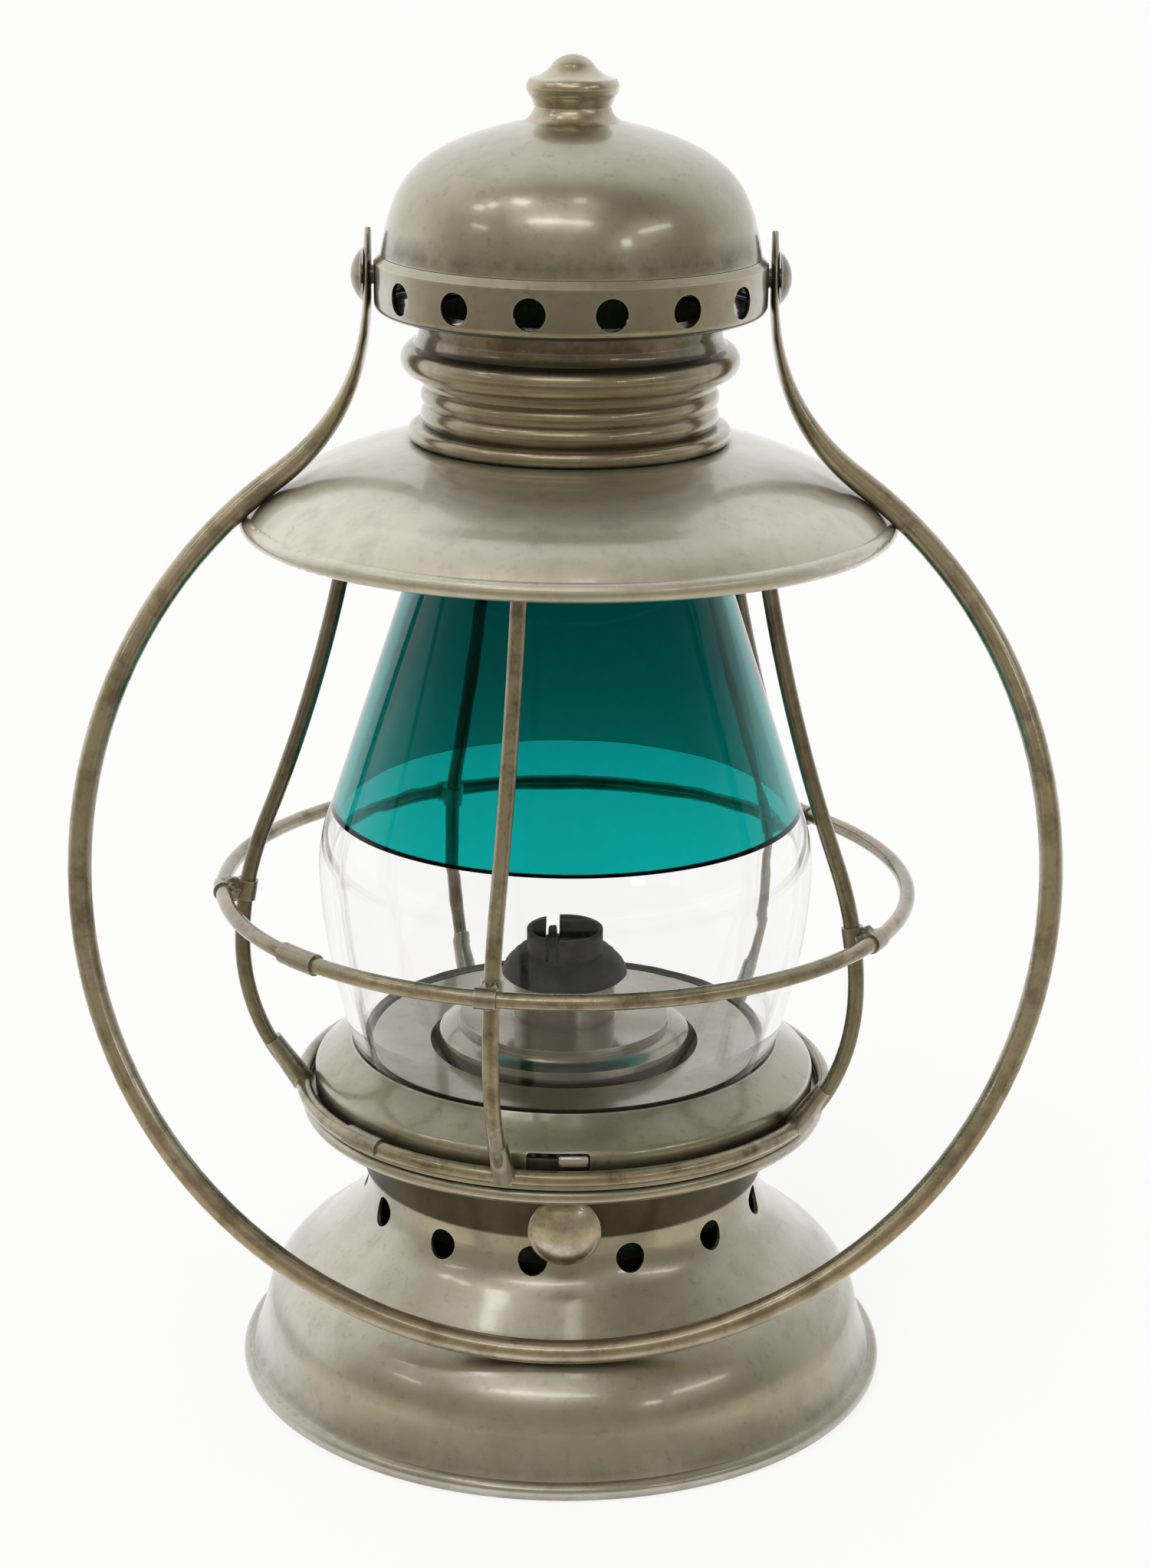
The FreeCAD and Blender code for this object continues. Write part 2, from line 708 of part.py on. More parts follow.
def wick_drive():
    along_y = {"axis": "H_Axis", "role": "YZ_Plane"}
    bush = turned("shaft_bush", [
        ("-(neck_radius - wall * 3)", "shaft_radius + fit"),
        ("-(neck_radius - wall * 3)", "bush_radius"),
        ("-bush_seat", "bush_radius"),
        ("-bush_seat", "bush_flange"),
        ("-(bush_seat + wall * 1.5)", "bush_flange"),
        ("-(bush_seat + wall * 2)", "bush_flange - wall / 2"),
        ("-(bush_seat + wall * 2)", "shaft_radius + fit"),
    ], **along_y)
    shaft = turned("wick_shaft", [
        ("-(knob_face - wall)", "0"),
        ("spur_spacing", "0"),
        ("spur_spacing", "shaft_radius"),
        ("-(knob_face - wall)", "shaft_radius"),
    ], **along_y)
    knob = turned("wick_knob", [
        ("-(knob_face + knob_swell)", "0"),
        ("-(knob_face - wall)", "0"),
        ("-(knob_face - wall)", "shaft_radius"),
        ("-(knob_face - knob_stand / 2)", "shaft_radius"),
        ("-(knob_face - knob_stand / 2)", "knob_hub_radius"),
        ("-(knob_face - knob_thickness)", "knob_hub_radius"),
        ("-(knob_face - knob_thickness)", "knob_rim", "knob_thickness * " + ROUND_EDGE),
        ("-knob_face", "knob_rim", dome_swell("knob_rim", "knob_swell")),
    ], **along_y)
    spurs = doc.addObject("PartDesign::Body", "wick_spurs")
    star = new_sketch(spurs, "spur_star")
    bind(star, "AttachmentOffset.Base.z", "spur_spacing / 2 - spur_width / 2")
    step = 180 / SPUR_TEETH
    points = []
    for tooth in range(SPUR_TEETH):
        for radius, turn in (("spur_tip", 2 * tooth * step), ("spur_root", (2 * tooth + 1) * step)):
            points.append(("%s * cos(%.4f)" % (radius, turn), "%s * sin(%.4f)" % (radius, turn)))
    points[0] = ("spur_tip", "0")
    outline(star, points)
    circle("0", "0", "shaft_radius + press")(star)
    wheel = spurs.newObject("PartDesign::Pad", "spur_wheel")
    wheel.Profile = star
    bind(wheel, "Length", "spur_width")
    doc.recompute()
    pair = spurs.newObject("PartDesign::LinearPattern", "spur_pair")
    pair.Originals = [wheel]
    pair.Direction = ([item for item in spurs.Origin.OriginFeatures if item.Role == "Y_Axis"][0], [""])
    bind(pair, "Length", "spur_spacing")
    pair.Occurrences = 2
    spurs.Tip = pair
    doc.recompute()
    for piece in (bush, shaft, knob, spurs):
        bind(piece, "Placement.Base.x", "shaft_offset")
        bind(piece, "Placement.Base.z", "shaft")
    return [bush, shaft, knob, spurs]


def globe_plate():
    body = turned("globe_plate", [
        ("plate_hole", "plate_crest - plate_dip - wall"),
        ("seat_in - wall", "plate_crest - wall"),
        ("seat_in - wall", "seat - wall"),
        ("seat_out + wall", "seat - wall"),
        ("plate_radius - wall - plate_edge / 2", "plate_top - wall"),
        ("plate_radius - wall", "plate_top - plate_lip"),
        ("plate_radius - wall", "plate_foot"),
        ("guard_ring + fit", "plate_foot"),
        ("guard_ring + fit", "plate_foot + wall"),
        ("plate_radius", "plate_foot + wall"),
        ("plate_radius", "plate_top - plate_lip", "plate_round"),
        ("plate_radius - plate_edge", "plate_top"),
        ("seat_out", "plate_crest"),
        ("seat_out", "seat"),
        ("seat_in", "seat"),
        ("seat_in", "plate_crest"),
        ("plate_hole", "plate_crest - plate_dip"),
    ])
    right = "lug_middle + lug_length / 2 + turn_gap"
    left = "lug_middle - lug_length / 2 - lug_travel - turn_gap"
    entry = "lug_middle + lug_length / 2 - lug_travel + turn_gap"
    corner = QUARTER + " * slot_corner"
    shape = [
        (left, "plate_foot - wall"),
        (entry, "plate_foot - wall"),
        (entry, "slot - slot_height / 2"),
        (right + " - slot_corner", "slot - slot_height / 2", corner),
        (right, "slot - slot_height / 2 + slot_corner"),
        (right, "slot + slot_height / 2 - slot_corner", corner),
        (right + " - slot_corner", "slot + slot_height / 2"),
        (left + " + slot_corner", "slot + slot_height / 2", corner),
        (left, "slot + slot_height / 2 - slot_corner"),
    ]
    slot = cut_front(body, "bayonet_slot", lambda sketch: outline(sketch, shape),
                     depth="spigot_radius + lug_reach + turn_gap")
    pattern(body, slot, LUGS, 360)
    return body


def globe():
    clear = turned("globe_clear", [
        ("globe_foot - glass", "seat"),
        ("globe_foot", "seat", "globe_foot_swell"),
        ("globe_belly", "belly", "tint_swell"),
        ("tint_radius", "tint"),
        ("tint_radius - glass", "tint", "-tint_swell"),
        ("globe_belly - glass", "belly", "-globe_foot_swell"),
    ])
    tinted = turned("globe_tinted", [
        ("tint_radius - glass", "tint"),
        ("tint_radius", "tint"),
        ("globe_mouth", "globe_top"),
        ("globe_mouth - glass", "globe_top"),
    ])
    return [clear, tinted]


def guard_upright(label, turn):
    """One guard wire: a round bar along three arcs that run into each other."""
    body = doc.addObject("PartDesign::Body", label)
    path = new_sketch(body, label + "_path")
    outline(path, [
        ("guard_foot", "guard_foot_lift", "guard_low * (1 - cos(guard_lean / 2))"),
        ("guard_belly", "guard_belly_at", "guard_bend * (1 - cos(bend_angle / 2))"),
        ("bend_radius", "bend_at", "-guard_reach * (1 - cos(top_turn))"),
        ("guard_top", "guard_top_at"),
    ], closed=False)
    doc.recompute()
    section = body.newObject("Sketcher::SketchObject", label + "_section")
    section.AttachmentSupport = [(path, "Edge1")]
    section.MapMode = "NormalToEdge"
    section.MapPathParameter = 0
    circle("0", "0", "wire")(section)
    pipe = body.newObject("PartDesign::AdditivePipe", label + "_pipe")
    pipe.Profile = section
    pipe.Spine = (path, ["Edge1", "Edge2", "Edge3"])
    doc.recompute()
    turn_about_z(body, turn)
    return body


def guard_azimuth(step):
    return "guard_turn + %d * 360 / %d" % (step, UPRIGHTS)


def guard_feet(ring, plate, uprights):
    """Tapered sockets that hold the guard wires on the base ring."""
    sockets = doc.addObject("PartDesign::Body", "foot_sockets")
    cone = sockets.newObject("PartDesign::AdditiveCone", "foot_cone")
    bind(cone, "Radius1", "foot_socket")
    bind(cone, "Radius2", "foot_tip")
    bind(cone, "Height", "foot_length")
    cone.Placement = FreeCAD.Placement(
        FreeCAD.Vector(), FreeCAD.Rotation(FreeCAD.Vector(0, 1, 0), 1))
    bind(cone, "Placement.Base.x", "guard_ring")
    bind(cone, "Placement.Base.z", "ring")
    bind(cone, "Placement.Rotation.Angle", "guard_lean - foot_length / guard_low * 90 / pi")
    doc.recompute()
    pattern(sockets, cone, UPRIGHTS, 360)
    turn_about_z(sockets, "guard_turn")
    return cut("guard_feet", sockets, ring, plate, uprights)


def hoop_ties(hoop, uprights):
    """Soldered ties: a collar on each guard wire, a sleeve on the hoop and a post between them."""
    collars = doc.addObject("PartDesign::Body", "tie_collars")
    collar = collars.newObject("PartDesign::AdditiveCylinder", "tie_collar")
    bind(collar, "Radius", "tie_radius")
    bind(collar, "Height", "tie_length")
    collar.Placement = FreeCAD.Placement(
        FreeCAD.Vector(), FreeCAD.Rotation(FreeCAD.Vector(0, -1, 0), 1))
    bind(collar, "Placement.Base.x", "tie_at + sin(tie_angle) * tie_length / 2")
    bind(collar, "Placement.Base.z", "hoop - cos(tie_angle) * tie_length / 2")
    bind(collar, "Placement.Rotation.Angle", "tie_angle")
    sleeves = doc.addObject("PartDesign::Body", "tie_sleeves")
    sleeve = sleeves.newObject("PartDesign::AdditiveTorus", "tie_sleeve_blank")
    sweep = "tie_length / hoop_radius * 180 / pi"
    bind(sleeve, "Radius1", "hoop_radius")
    bind(sleeve, "Radius2", "tie_sleeve")
    bind(sleeve, "Angle3", sweep)
    sleeve.Placement = FreeCAD.Placement(
        FreeCAD.Vector(), FreeCAD.Rotation(FreeCAD.Vector(0, 0, -1), 1))
    bind(sleeve, "Placement.Base.z", "hoop")
    bind(sleeve, "Placement.Rotation.Angle", "%s / 2" % sweep)
    posts = doc.addObject("PartDesign::Body", "tie_posts")
    post = posts.newObject("PartDesign::AdditiveCylinder", "tie_post_blank")
    bind(post, "Radius", "tie_post")
    bind(post, "Height", "hoop_radius - tie_at")
    post.Placement = FreeCAD.Placement(
        FreeCAD.Vector(), FreeCAD.Rotation(FreeCAD.Vector(0, 1, 0), 90))
    bind(post, "Placement.Base.x", "tie_at")
    bind(post, "Placement.Base.z", "hoop")
    doc.recompute()
    for body, feature in ((collars, collar), (sleeves, sleeve), (posts, post)):
        pattern(body, feature, UPRIGHTS, 360)
        turn_about_z(body, "guard_turn")
    blanks = doc.addObject("Part::MultiFuse", "tie_blanks")
    blanks.Shapes = [collars, sleeves, posts]
    return cut("hoop_ties", blanks, hoop, uprights)


def ferrule(name, radius, height, *tools):
    """A short sleeve over the joint of a wire ring."""
    sweep = "ferrule_length / (%s) * 180 / pi" % radius
    sleeve = torus(name + "_sleeve", radius, "ferrule_radius", height, sweep)
    turn_about_z(sleeve, "ferrule_turn - %s / 2" % sweep)
    return cut(name, sleeve, *tools)


def guard(plate):
    ring = torus("guard_ring", "guard_ring", "wire", "ring")
    hoop = torus("guard_hoop", "hoop_radius", "wire", "hoop")
    uprights = []
    for step in range(UPRIGHTS):
        uprights.append(guard_upright("guard_upright_%d" % (step + 1), guard_azimuth(step)))
    wires = group("guard_wires", uprights)
    feet = guard_feet(ring, plate, wires)
    ties = hoop_ties(hoop, wires)
    seat = doc.addObject("Part::Cylinder", "ferrule_seat")
    bind(seat, "Radius", "guard_ring + ferrule_radius * 2")
    bind(seat, "Height", "ring - plate_foot - wire / 2")
    bind(seat, "Placement.Base.z", "plate_foot")
    ring_ferrule = ferrule("ring_ferrule", "guard_ring", "ring", ring, seat)
    hoop_ferrule = ferrule("hoop_ferrule", "hoop_radius", "hoop", hoop)
    return [ring, hoop, feet, ties, ring_ferrule, hoop_ferrule] + uprights


def hat():
    brim = turned("hat_brim", [
        ("chimney_bore", "brim_top - wall"),
        ("brim_land", "brim_top - wall", "-brim_swell"),
        ("brim_mid - wall / 3", "brim_shoulder - wall", "-brim_lip_swell"),
        ("brim_centre - brim_roll * cos(30)", "brim_edge + brim_roll / 2", "brim_roll / 2"),
        ("brim_centre", "brim_edge - brim_roll", QUARTER + " * brim_roll"),
        ("brim_radius", "brim_edge", QUARTER + " * brim_roll"),
        ("brim_centre", "brim_edge + brim_roll", "brim_lip_swell"),
        ("brim_mid", "brim_shoulder", "brim_swell"),
        ("brim_land", "brim_top"),
        ("chimney_bore", "brim_top"),
    ])
    retainer = turned("globe_retainer", [
        ("globe_mouth - glass", "ledge"),
        ("retainer", "ledge"),
        ("finger_radius", "finger_foot"),
        ("finger_radius + wall", "finger_foot"),
        ("retainer + wall", "ledge + wall / 3"),
        ("retainer + wall", "brim_top - wall"),
        ("retainer", "brim_top - wall"),
        ("retainer", "ledge + wall"),
        ("globe_mouth - glass", "ledge + wall"),
    ])
    slit = [
        ("-finger_slot / 2", "finger_foot - wall"),
        ("finger_slot / 2", "finger_foot - wall"),
        ("finger_slot / 2", "ledge - wall"),
        ("-finger_slot / 2", "ledge - wall"),
    ]
    cutter = cut_front(retainer, "finger_slits", lambda sketch: outline(sketch, slit), both=True)
    pattern(retainer, cutter, FINGERS // 2, 180 - 360 / FINGERS)
    collar = turned("chimney_collar", [
        ("chimney_bore", "brim_top"),
        ("collar_foot - collar_foot_roll", "brim_top", QUARTER + " * collar_foot_roll"),
        ("collar_foot", "brim_top + collar_foot_roll", QUARTER + " * collar_foot_roll"),
        ("collar_foot - collar_foot_roll", "rib"),
        ("rib_radius", "rib", "rib_swell"),
        ("rib_radius", "rib + rib_pitch", "rib_swell"),
        ("rib_radius", "cove", "rib_swell / 2"),
        ("(rib_radius + chimney_neck) / 2", "crown", "crown_swell"),
        ("chimney_neck + crown_lip", "chimney", "-crown_hollow"),
        ("chimney_neck", "chimney + crown_cove"),
        ("chimney_neck", "band"),
        ("chimney_bore", "band"),
    ])
    return [brim, retainer, collar]


def chimney_cap():
    band = turned("vent_band", [
        ("chimney_bore", "band"),
        ("band_radius - band_edge", "band", QUARTER + " * band_edge"),
        ("band_radius", "band + band_edge"),
        ("band_radius", "band_top"),
        ("dome_radius", "dome"),
        ("dome_radius - wall", "dome"),
        ("dome_radius - wall", "dome - wall"),
        ("band_radius - wall", "band_top - wall / 2"),
        ("band_radius - wall", "band + band_edge", "-" + QUARTER + " * (band_edge - wall)"),
        ("band_radius - band_edge", "band + wall"),
        ("chimney_bore", "band + wall"),
    ])
    first = -BAND_VENT_PITCH * (BAND_VENTS - 1) / 2
    vent = cut_front(band, "band_vent_hole", circle("0", "band + band_vent_lift", "band_vent / 2"),
                     both=True, turn=str(first))
    pattern(band, vent, BAND_VENTS, BAND_VENT_PITCH * (BAND_VENTS - 1))
    ears = band.newObject("PartDesign::SubtractiveCylinder", "rivet_holes")
    bind(ears, "Radius", "rivet_radius + press")
    bind(ears, "Height", "band_radius * 2 + wall")
    ears.Placement = FreeCAD.Placement(
        FreeCAD.Vector(), FreeCAD.Rotation(FreeCAD.Vector(0, 1, 0), 90))
    bind(ears, "Placement.Base.x", "-band_radius - wall / 2")
    bind(ears, "Placement.Base.z", "pivot")
    dome = turned("smoke_dome", [
        ("dome_radius - wall", "dome"),
        ("dome_radius", "dome", "dome_wall_swell"),
        ("dome_radius - dome_wall_inset", "dome_bend", "dome_bend_swell"),
        ("dome_bend_radius", "dome_crown", "dome_top_swell"),
        ("finial_foot", "finial"),
        ("stud_radius + fit", "finial"),
        ("stud_radius + fit", "finial - wall"),
        ("finial_foot", "finial - wall", "-dome_top_swell"),
        ("dome_bend_radius - wall * " + SLOPE, "dome_crown - wall * " + SLOPE, "-dome_bend_swell"),
        ("dome_radius - dome_wall_inset - wall", "dome_bend", "-dome_wall_swell"),
    ])
    knob = turned("finial", [
        ("0", "finial - stud_radius"),
        ("stud_radius", "finial - stud_radius"),
        ("stud_radius", "finial"),
        ("finial_foot", "finial", "-finial_foot_hollow"),
        ("finial_waist", "finial_neck"),
        ("finial_knob", "finial_ball", "finial_swell"),
        ("finial_knob", "finial_shoulder", "-finial_hollow"),
        ("finial_tip", "finial_point", dome_swell("finial_tip", "finial_tip_rise")),
        ("0", "finial_point + finial_tip_rise"),
    ])
    return [band, dome, knob]


def bail_rivet(label, turn):
    body = turned(label, [
        ("band_radius - wall * 2", "0"),
        ("rivet_seat + rivet_swell", "0", dome_swell("rivet_head", "rivet_swell")),
        ("rivet_seat", "rivet_head"),
        ("rivet_seat", "rivet_radius"),
        ("band_radius - wall - fit", "rivet_radius"),
        ("band_radius - wall - fit", "rivet_burr"),
        ("band_radius - wall * 2", "rivet_burr"),
    ], axis="H_Axis")
    body.Placement = FreeCAD.Placement(FreeCAD.Vector(), FreeCAD.Rotation(FreeCAD.Vector(0, 0, 1), turn))
    bind(body, "Placement.Base.z", "pivot")
    return body


def bail():
    """The bail in its own plane, hanging from the pivot, then leaned out to lie on the bell."""
    def station(thing, across, depth, turn):
        frame = "create(<<placement>>; create(<<vector>>; %s; 0; -(%s)); create(<<rotation>>; 90; 0; -(%s)))"
        bind(thing, "Placement", frame % (across, depth, turn))

    path = doc.addObject("Sketcher::SketchObject", "bail_path")
    path.Placement = FreeCAD.Placement(
        FreeCAD.Vector(), FreeCAD.Rotation(FreeCAD.Vector(1, 0, 0), 90))
    out = "bail_hoop * cos(arm_turn)"
    depth = "(bail_centre - bail_hoop * sin(arm_turn))"
    outline(path, [
        (out, "-" + depth, "-bail_hoop * (1 + sin(arm_turn))"),
        ("-" + out, "-" + depth),
    ], closed=False)
    wire = doc.addObject("Part::Circle", "bail_section")
    bind(wire, "Radius", "bail_wire / 2")
    station(wire, out, depth, "arm_turn")
    hoop = doc.addObject("Part::Sweep", "bail_hoop")
    hoop.Sections = [wire]
    hoop.Spine = (path, ["Edge1"])
    hoop.Solid = True
    hoop.Frenet = True

    # Each arm flattens from round wire into a paddle, along the reverse bend.
    stations = []
    for share, spread in ARM_BEND:
        turn = "arm_turn * %s" % share
        stations.append((
            "arm + bail_bend * (1 - cos(%s))" % turn, "arm_depth + bail_bend * sin(%s)" % turn, turn,
            "bail_wire + (paddle_width - bail_wire) * %s" % spread,
            "bail_wire + (paddle_thickness - bail_wire) * %s" % spread))
    for share, width, thickness in ARM_END:
        stations.append((
            "arm", "arm_depth - (arm_depth + paddle_tip) * %s" % share, "0",
            "paddle_width * %s" % width, "paddle_thickness * %s" % thickness))
    sections = []
    for step, (across, down, turn, width, thickness) in enumerate(stations):
        oval = doc.addObject("Part::Ellipse", "arm_section_%d" % step)
        bind(oval, "MajorRadius", "(%s) / 2" % width)
        bind(oval, "MinorRadius", "(%s) / 2" % thickness)
        station(oval, across, down, turn)
        sections.append(oval)
    arm = doc.addObject("Part::Loft", "bail_arm_right")
    arm.Sections = sections
    arm.Solid = True
    other = doc.addObject("Part::Mirroring", "bail_arm_left")
    other.Source = arm
    other.Normal = FreeCAD.Vector(1, 0, 0)
    whole = doc.addObject("Part::MultiFuse", "bail_blank")
    whole.Shapes = [hoop, arm, other]
    whole.Refine = False
    drill = doc.addObject("Part::Cylinder", "bail_drill")
    bind(drill, "Radius", "rivet_radius + fit")
    bind(drill, "Height", "arm * 3")
    drill.Placement = FreeCAD.Placement(
        FreeCAD.Vector(), FreeCAD.Rotation(FreeCAD.Vector(0, 1, 0), 90))
    bind(drill, "Placement.Base.x", "-arm * 1.5")
    ready = cut("bail", whole, drill)
    ready.Placement = FreeCAD.Placement(
        FreeCAD.Vector(), FreeCAD.Rotation(FreeCAD.Vector(-1, 0, 0), 1))
    bind(ready, "Placement.Base.z", "pivot")
    bind(ready, "Placement.Rotation.Angle", "bail_lean")
    return ready


def build():
    write_sizes()
    plate = globe_plate()
    pieces = [base_bell(), base_floor(), base_collar(), bayonet_lugs(), fount(), plate]
    pieces += burner() + wick_parts() + wick_drive() + globe() + guard(plate) + hat() + chimney_cap()
    pieces += [bail_rivet("bail_rivet_right", 0), bail_rivet("bail_rivet_left", 180), bail()]
    for piece in pieces:
        piece.Label = piece.Name
    doc.recompute()
    return pieces


def check(pieces):
    for thing in doc.Objects:
        if "Invalid" in thing.State or "Error" in thing.State:
            raise RuntimeError("%s: %s" % (thing.Name, thing.State))
    for piece in pieces:
        if piece.Shape.isNull() or not piece.Shape.isValid() or not piece.Shape.Solids:
            raise RuntimeError(piece.Label + " has no sound shape")


def export(pieces):
    os.makedirs("parts", exist_ok=True)
    for piece in pieces:
        piece.Shape.exportStep(os.path.join("parts", piece.Label + ".step"))
        print("%-20s %d solids  %9.1f mm3" % (piece.Label, len(piece.Shape.Solids), piece.Shape.Volume))


lantern = build()
check(lantern)
export(lantern)
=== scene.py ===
# %% [markdown]
# # Dressing a kerosene hand lantern
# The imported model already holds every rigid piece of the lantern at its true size: the bell base, the
# wire guard, the hat with its chimney cap, and the bail. This lesson keeps most of those solids and
# gives them worn nickel plate. It spins a smoother dome, blows the two-colour globe, weaves the wick
# and sets up a small studio. Everything is in metres, Z is up, and the wick knob faces -Y.

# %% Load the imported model
import math

import bmesh
import bpy
from mathutils import Matrix, Vector, noise


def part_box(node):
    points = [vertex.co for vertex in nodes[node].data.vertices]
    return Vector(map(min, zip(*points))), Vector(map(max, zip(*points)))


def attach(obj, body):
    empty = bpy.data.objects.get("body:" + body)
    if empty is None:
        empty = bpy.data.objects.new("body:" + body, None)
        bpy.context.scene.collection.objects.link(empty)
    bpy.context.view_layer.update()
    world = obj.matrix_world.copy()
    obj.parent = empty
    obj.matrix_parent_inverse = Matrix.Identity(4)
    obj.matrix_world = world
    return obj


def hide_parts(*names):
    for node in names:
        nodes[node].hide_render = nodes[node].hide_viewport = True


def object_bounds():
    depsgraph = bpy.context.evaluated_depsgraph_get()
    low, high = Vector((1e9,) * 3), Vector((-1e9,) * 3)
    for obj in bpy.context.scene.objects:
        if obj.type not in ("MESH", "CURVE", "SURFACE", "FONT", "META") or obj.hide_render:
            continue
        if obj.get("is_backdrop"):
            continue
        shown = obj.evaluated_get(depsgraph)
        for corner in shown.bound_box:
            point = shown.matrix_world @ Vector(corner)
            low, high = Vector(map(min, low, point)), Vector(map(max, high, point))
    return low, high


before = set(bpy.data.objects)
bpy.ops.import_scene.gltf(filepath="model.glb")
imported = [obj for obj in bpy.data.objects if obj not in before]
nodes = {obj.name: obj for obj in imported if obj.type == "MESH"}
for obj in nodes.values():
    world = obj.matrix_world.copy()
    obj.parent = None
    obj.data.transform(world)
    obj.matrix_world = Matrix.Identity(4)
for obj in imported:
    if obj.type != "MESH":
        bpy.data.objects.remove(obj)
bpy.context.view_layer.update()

# %% [markdown]
# ## The camera
# A camera can be aimed by eye or with a Track To constraint. Here its place, tilt and lens were worked
# out from the ellipses that the round rims make in the picture, so it is set by numbers. The three
# directions of the view are built one from another, and they become the columns of its matrix.

# %% Camera
CAMERA_PLACE = Vector((0.0, -0.6289, 0.3207))
TILT_DOWN = math.radians(17.16)
TURN_RIGHT = math.radians(0.161)
LEAN = math.radians(0.593)
FOCAL_PIXELS = 4199.4
PICTURE_HEIGHT = 2045
SENSOR = 36.0


def put_in(name, data):
    """Make an object from its data, such as a mesh or a lamp, and put it in the scene."""
    thing = bpy.data.objects.new(name, data)
    bpy.context.scene.collection.objects.link(thing)
    return thing


ahead = Vector((math.sin(TURN_RIGHT) * math.cos(TILT_DOWN), math.cos(TURN_RIGHT) * math.cos(TILT_DOWN),
                -math.sin(TILT_DOWN)))
level = Vector((math.cos(TURN_RIGHT), -math.sin(TURN_RIGHT), 0.0))
upright = level.cross(ahead)
across = level * math.cos(LEAN) + upright * math.sin(LEAN)
rise = upright * math.cos(LEAN) - level * math.sin(LEAN)

lens = bpy.data.cameras.new("studio_camera")
lens.sensor_width = SENSOR
lens.lens = SENSOR * FOCAL_PIXELS / PICTURE_HEIGHT
camera = put_in("studio_camera", lens)
facing = Matrix((across, rise, -ahead)).transposed().to_4x4()
camera.matrix_world = Matrix.Translation(CAMERA_PLACE) @ facing
bpy.context.scene.camera = camera
print("lens in mm:", round(lens.lens, 2))

# %% [markdown]
# ## Small helpers for node graphs
# A finish is a graph of nodes. Wiring one by hand in the shader editor is fine for a single material,
# but this lantern needs about twenty, so short functions do it. The first ones feed an input, add a
# node and start a new finish; others follow where they are needed.

# %% Node helpers
def feed(tree, socket, value):
    """Give an input its value: a link from another node, a colour of three numbers, or a constant."""
    if isinstance(value, bpy.types.NodeSocket):
        tree.links.new(value, socket)
    elif socket.type == "RGBA" and len(value) == 3:
        socket.default_value = (*value, 1.0)
    else:
        socket.default_value = value


def tune(tree, node, **inputs):
    """Feed a node's inputs by name; an underscore stands for a space."""
    for key, value in inputs.items():
        feed(tree, node.inputs[key.replace("_", " ")], value)
    return node


def add(tree, kind, settings=None, **inputs):
    """Add a node, set its properties, then its inputs."""
    node = tree.nodes.new(kind)
    for key, value in (settings or {}).items():
        setattr(node, key, value)
    return tune(tree, node, **inputs)


def new_finish(name):
    """A new material, with its node tree and its Principled shader."""
    material = bpy.data.materials.new(name)
    material.use_nodes = True
    tree = material.node_tree
    return material, tree, tree.nodes["Principled BSDF"]


print("node helpers:", [helper.__name__ for helper in (feed, tune, add, new_finish)])

# %% [markdown]
# ## The pale floor
# Polished metal is mostly a picture of the room, so the room matters as much as the metal. A pale
# floor runs past the edge of the view and serves as the background too. Lit by the lamps alone it would
# look grey, so the camera, mirrors and glass see it glow nearly white. The rest of what they see is the
# plain floor, which takes the lantern's shadow.

# %% Floor
FLOOR_HALF = 20.0
FLOOR_DROP = 0.0002
FLOOR_TONE = (0.86, 0.86, 0.86)
FLOOR_GLOW = 0.86
CORNERS = ((-1, -1), (1, -1), (1, 1), (-1, 1))
WHITE = (1.0, 1.0, 1.0)


def reckon(tree, operation, *values):
    """One step of arithmetic on sockets or numbers."""
    node = add(tree, "ShaderNodeMath", {"operation": operation})
    for socket, value in zip(node.inputs, values):
        feed(tree, socket, value)
    return node.outputs["Value"]


floor_mesh = bpy.data.meshes.new("studio_floor")
floor_mesh.from_pydata([(x * FLOOR_HALF, y * FLOOR_HALF, -FLOOR_DROP) for x, y in CORNERS],
                       [], [(0, 1, 2, 3)])
floor = put_in("studio_floor", floor_mesh)
floor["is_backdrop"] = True

pale, tree, shader = new_finish("pale_floor")
tune(tree, shader, Base_Color=FLOOR_TONE, Roughness=0.9, Specular_IOR_Level=0.1)
ray = add(tree, "ShaderNodeLightPath").outputs
seen = reckon(tree, "MAXIMUM", ray["Is Camera Ray"], ray["Is Glossy Ray"])
seen = reckon(tree, "MAXIMUM", seen, ray["Is Transmission Ray"])
glow = add(tree, "ShaderNodeEmission", Color=WHITE, Strength=1.0)
blend = add(tree, "ShaderNodeMixShader", Fac=reckon(tree, "MULTIPLY", seen, FLOOR_GLOW))
feed(tree, blend.inputs[1], shader.outputs["BSDF"])
feed(tree, blend.inputs[2], glow.outputs["Emission"])
feed(tree, tree.nodes["Material Output"].inputs["Surface"], blend.outputs["Shader"])
floor_mesh.materials.append(pale)
print("floor side in m:", FLOOR_HALF * 2)

# %% [markdown]
# ## The sky
# A picture of a real room could light the lantern. A ramp over the direction of view is simpler, and
# each tone can be moved until the metal looks right. The sky is nearly white behind the lantern, about
# half as bright overhead, and falls off to a warm dusk on the viewer's side, which gives the front of
# the metal its deep tones. The left is a little brighter than the right, as from a window. Three more
# helpers come in here: a ramp grades a value, a mix joins two colours, and a vector comes apart.

# %% Ramps and mixes
# A Mix node keeps one set of sockets for each kind of data. These are the ones for colours.
MIX_FACTOR, MIX_FIRST, MIX_SECOND, MIX_RESULT = 0, 6, 7, 2


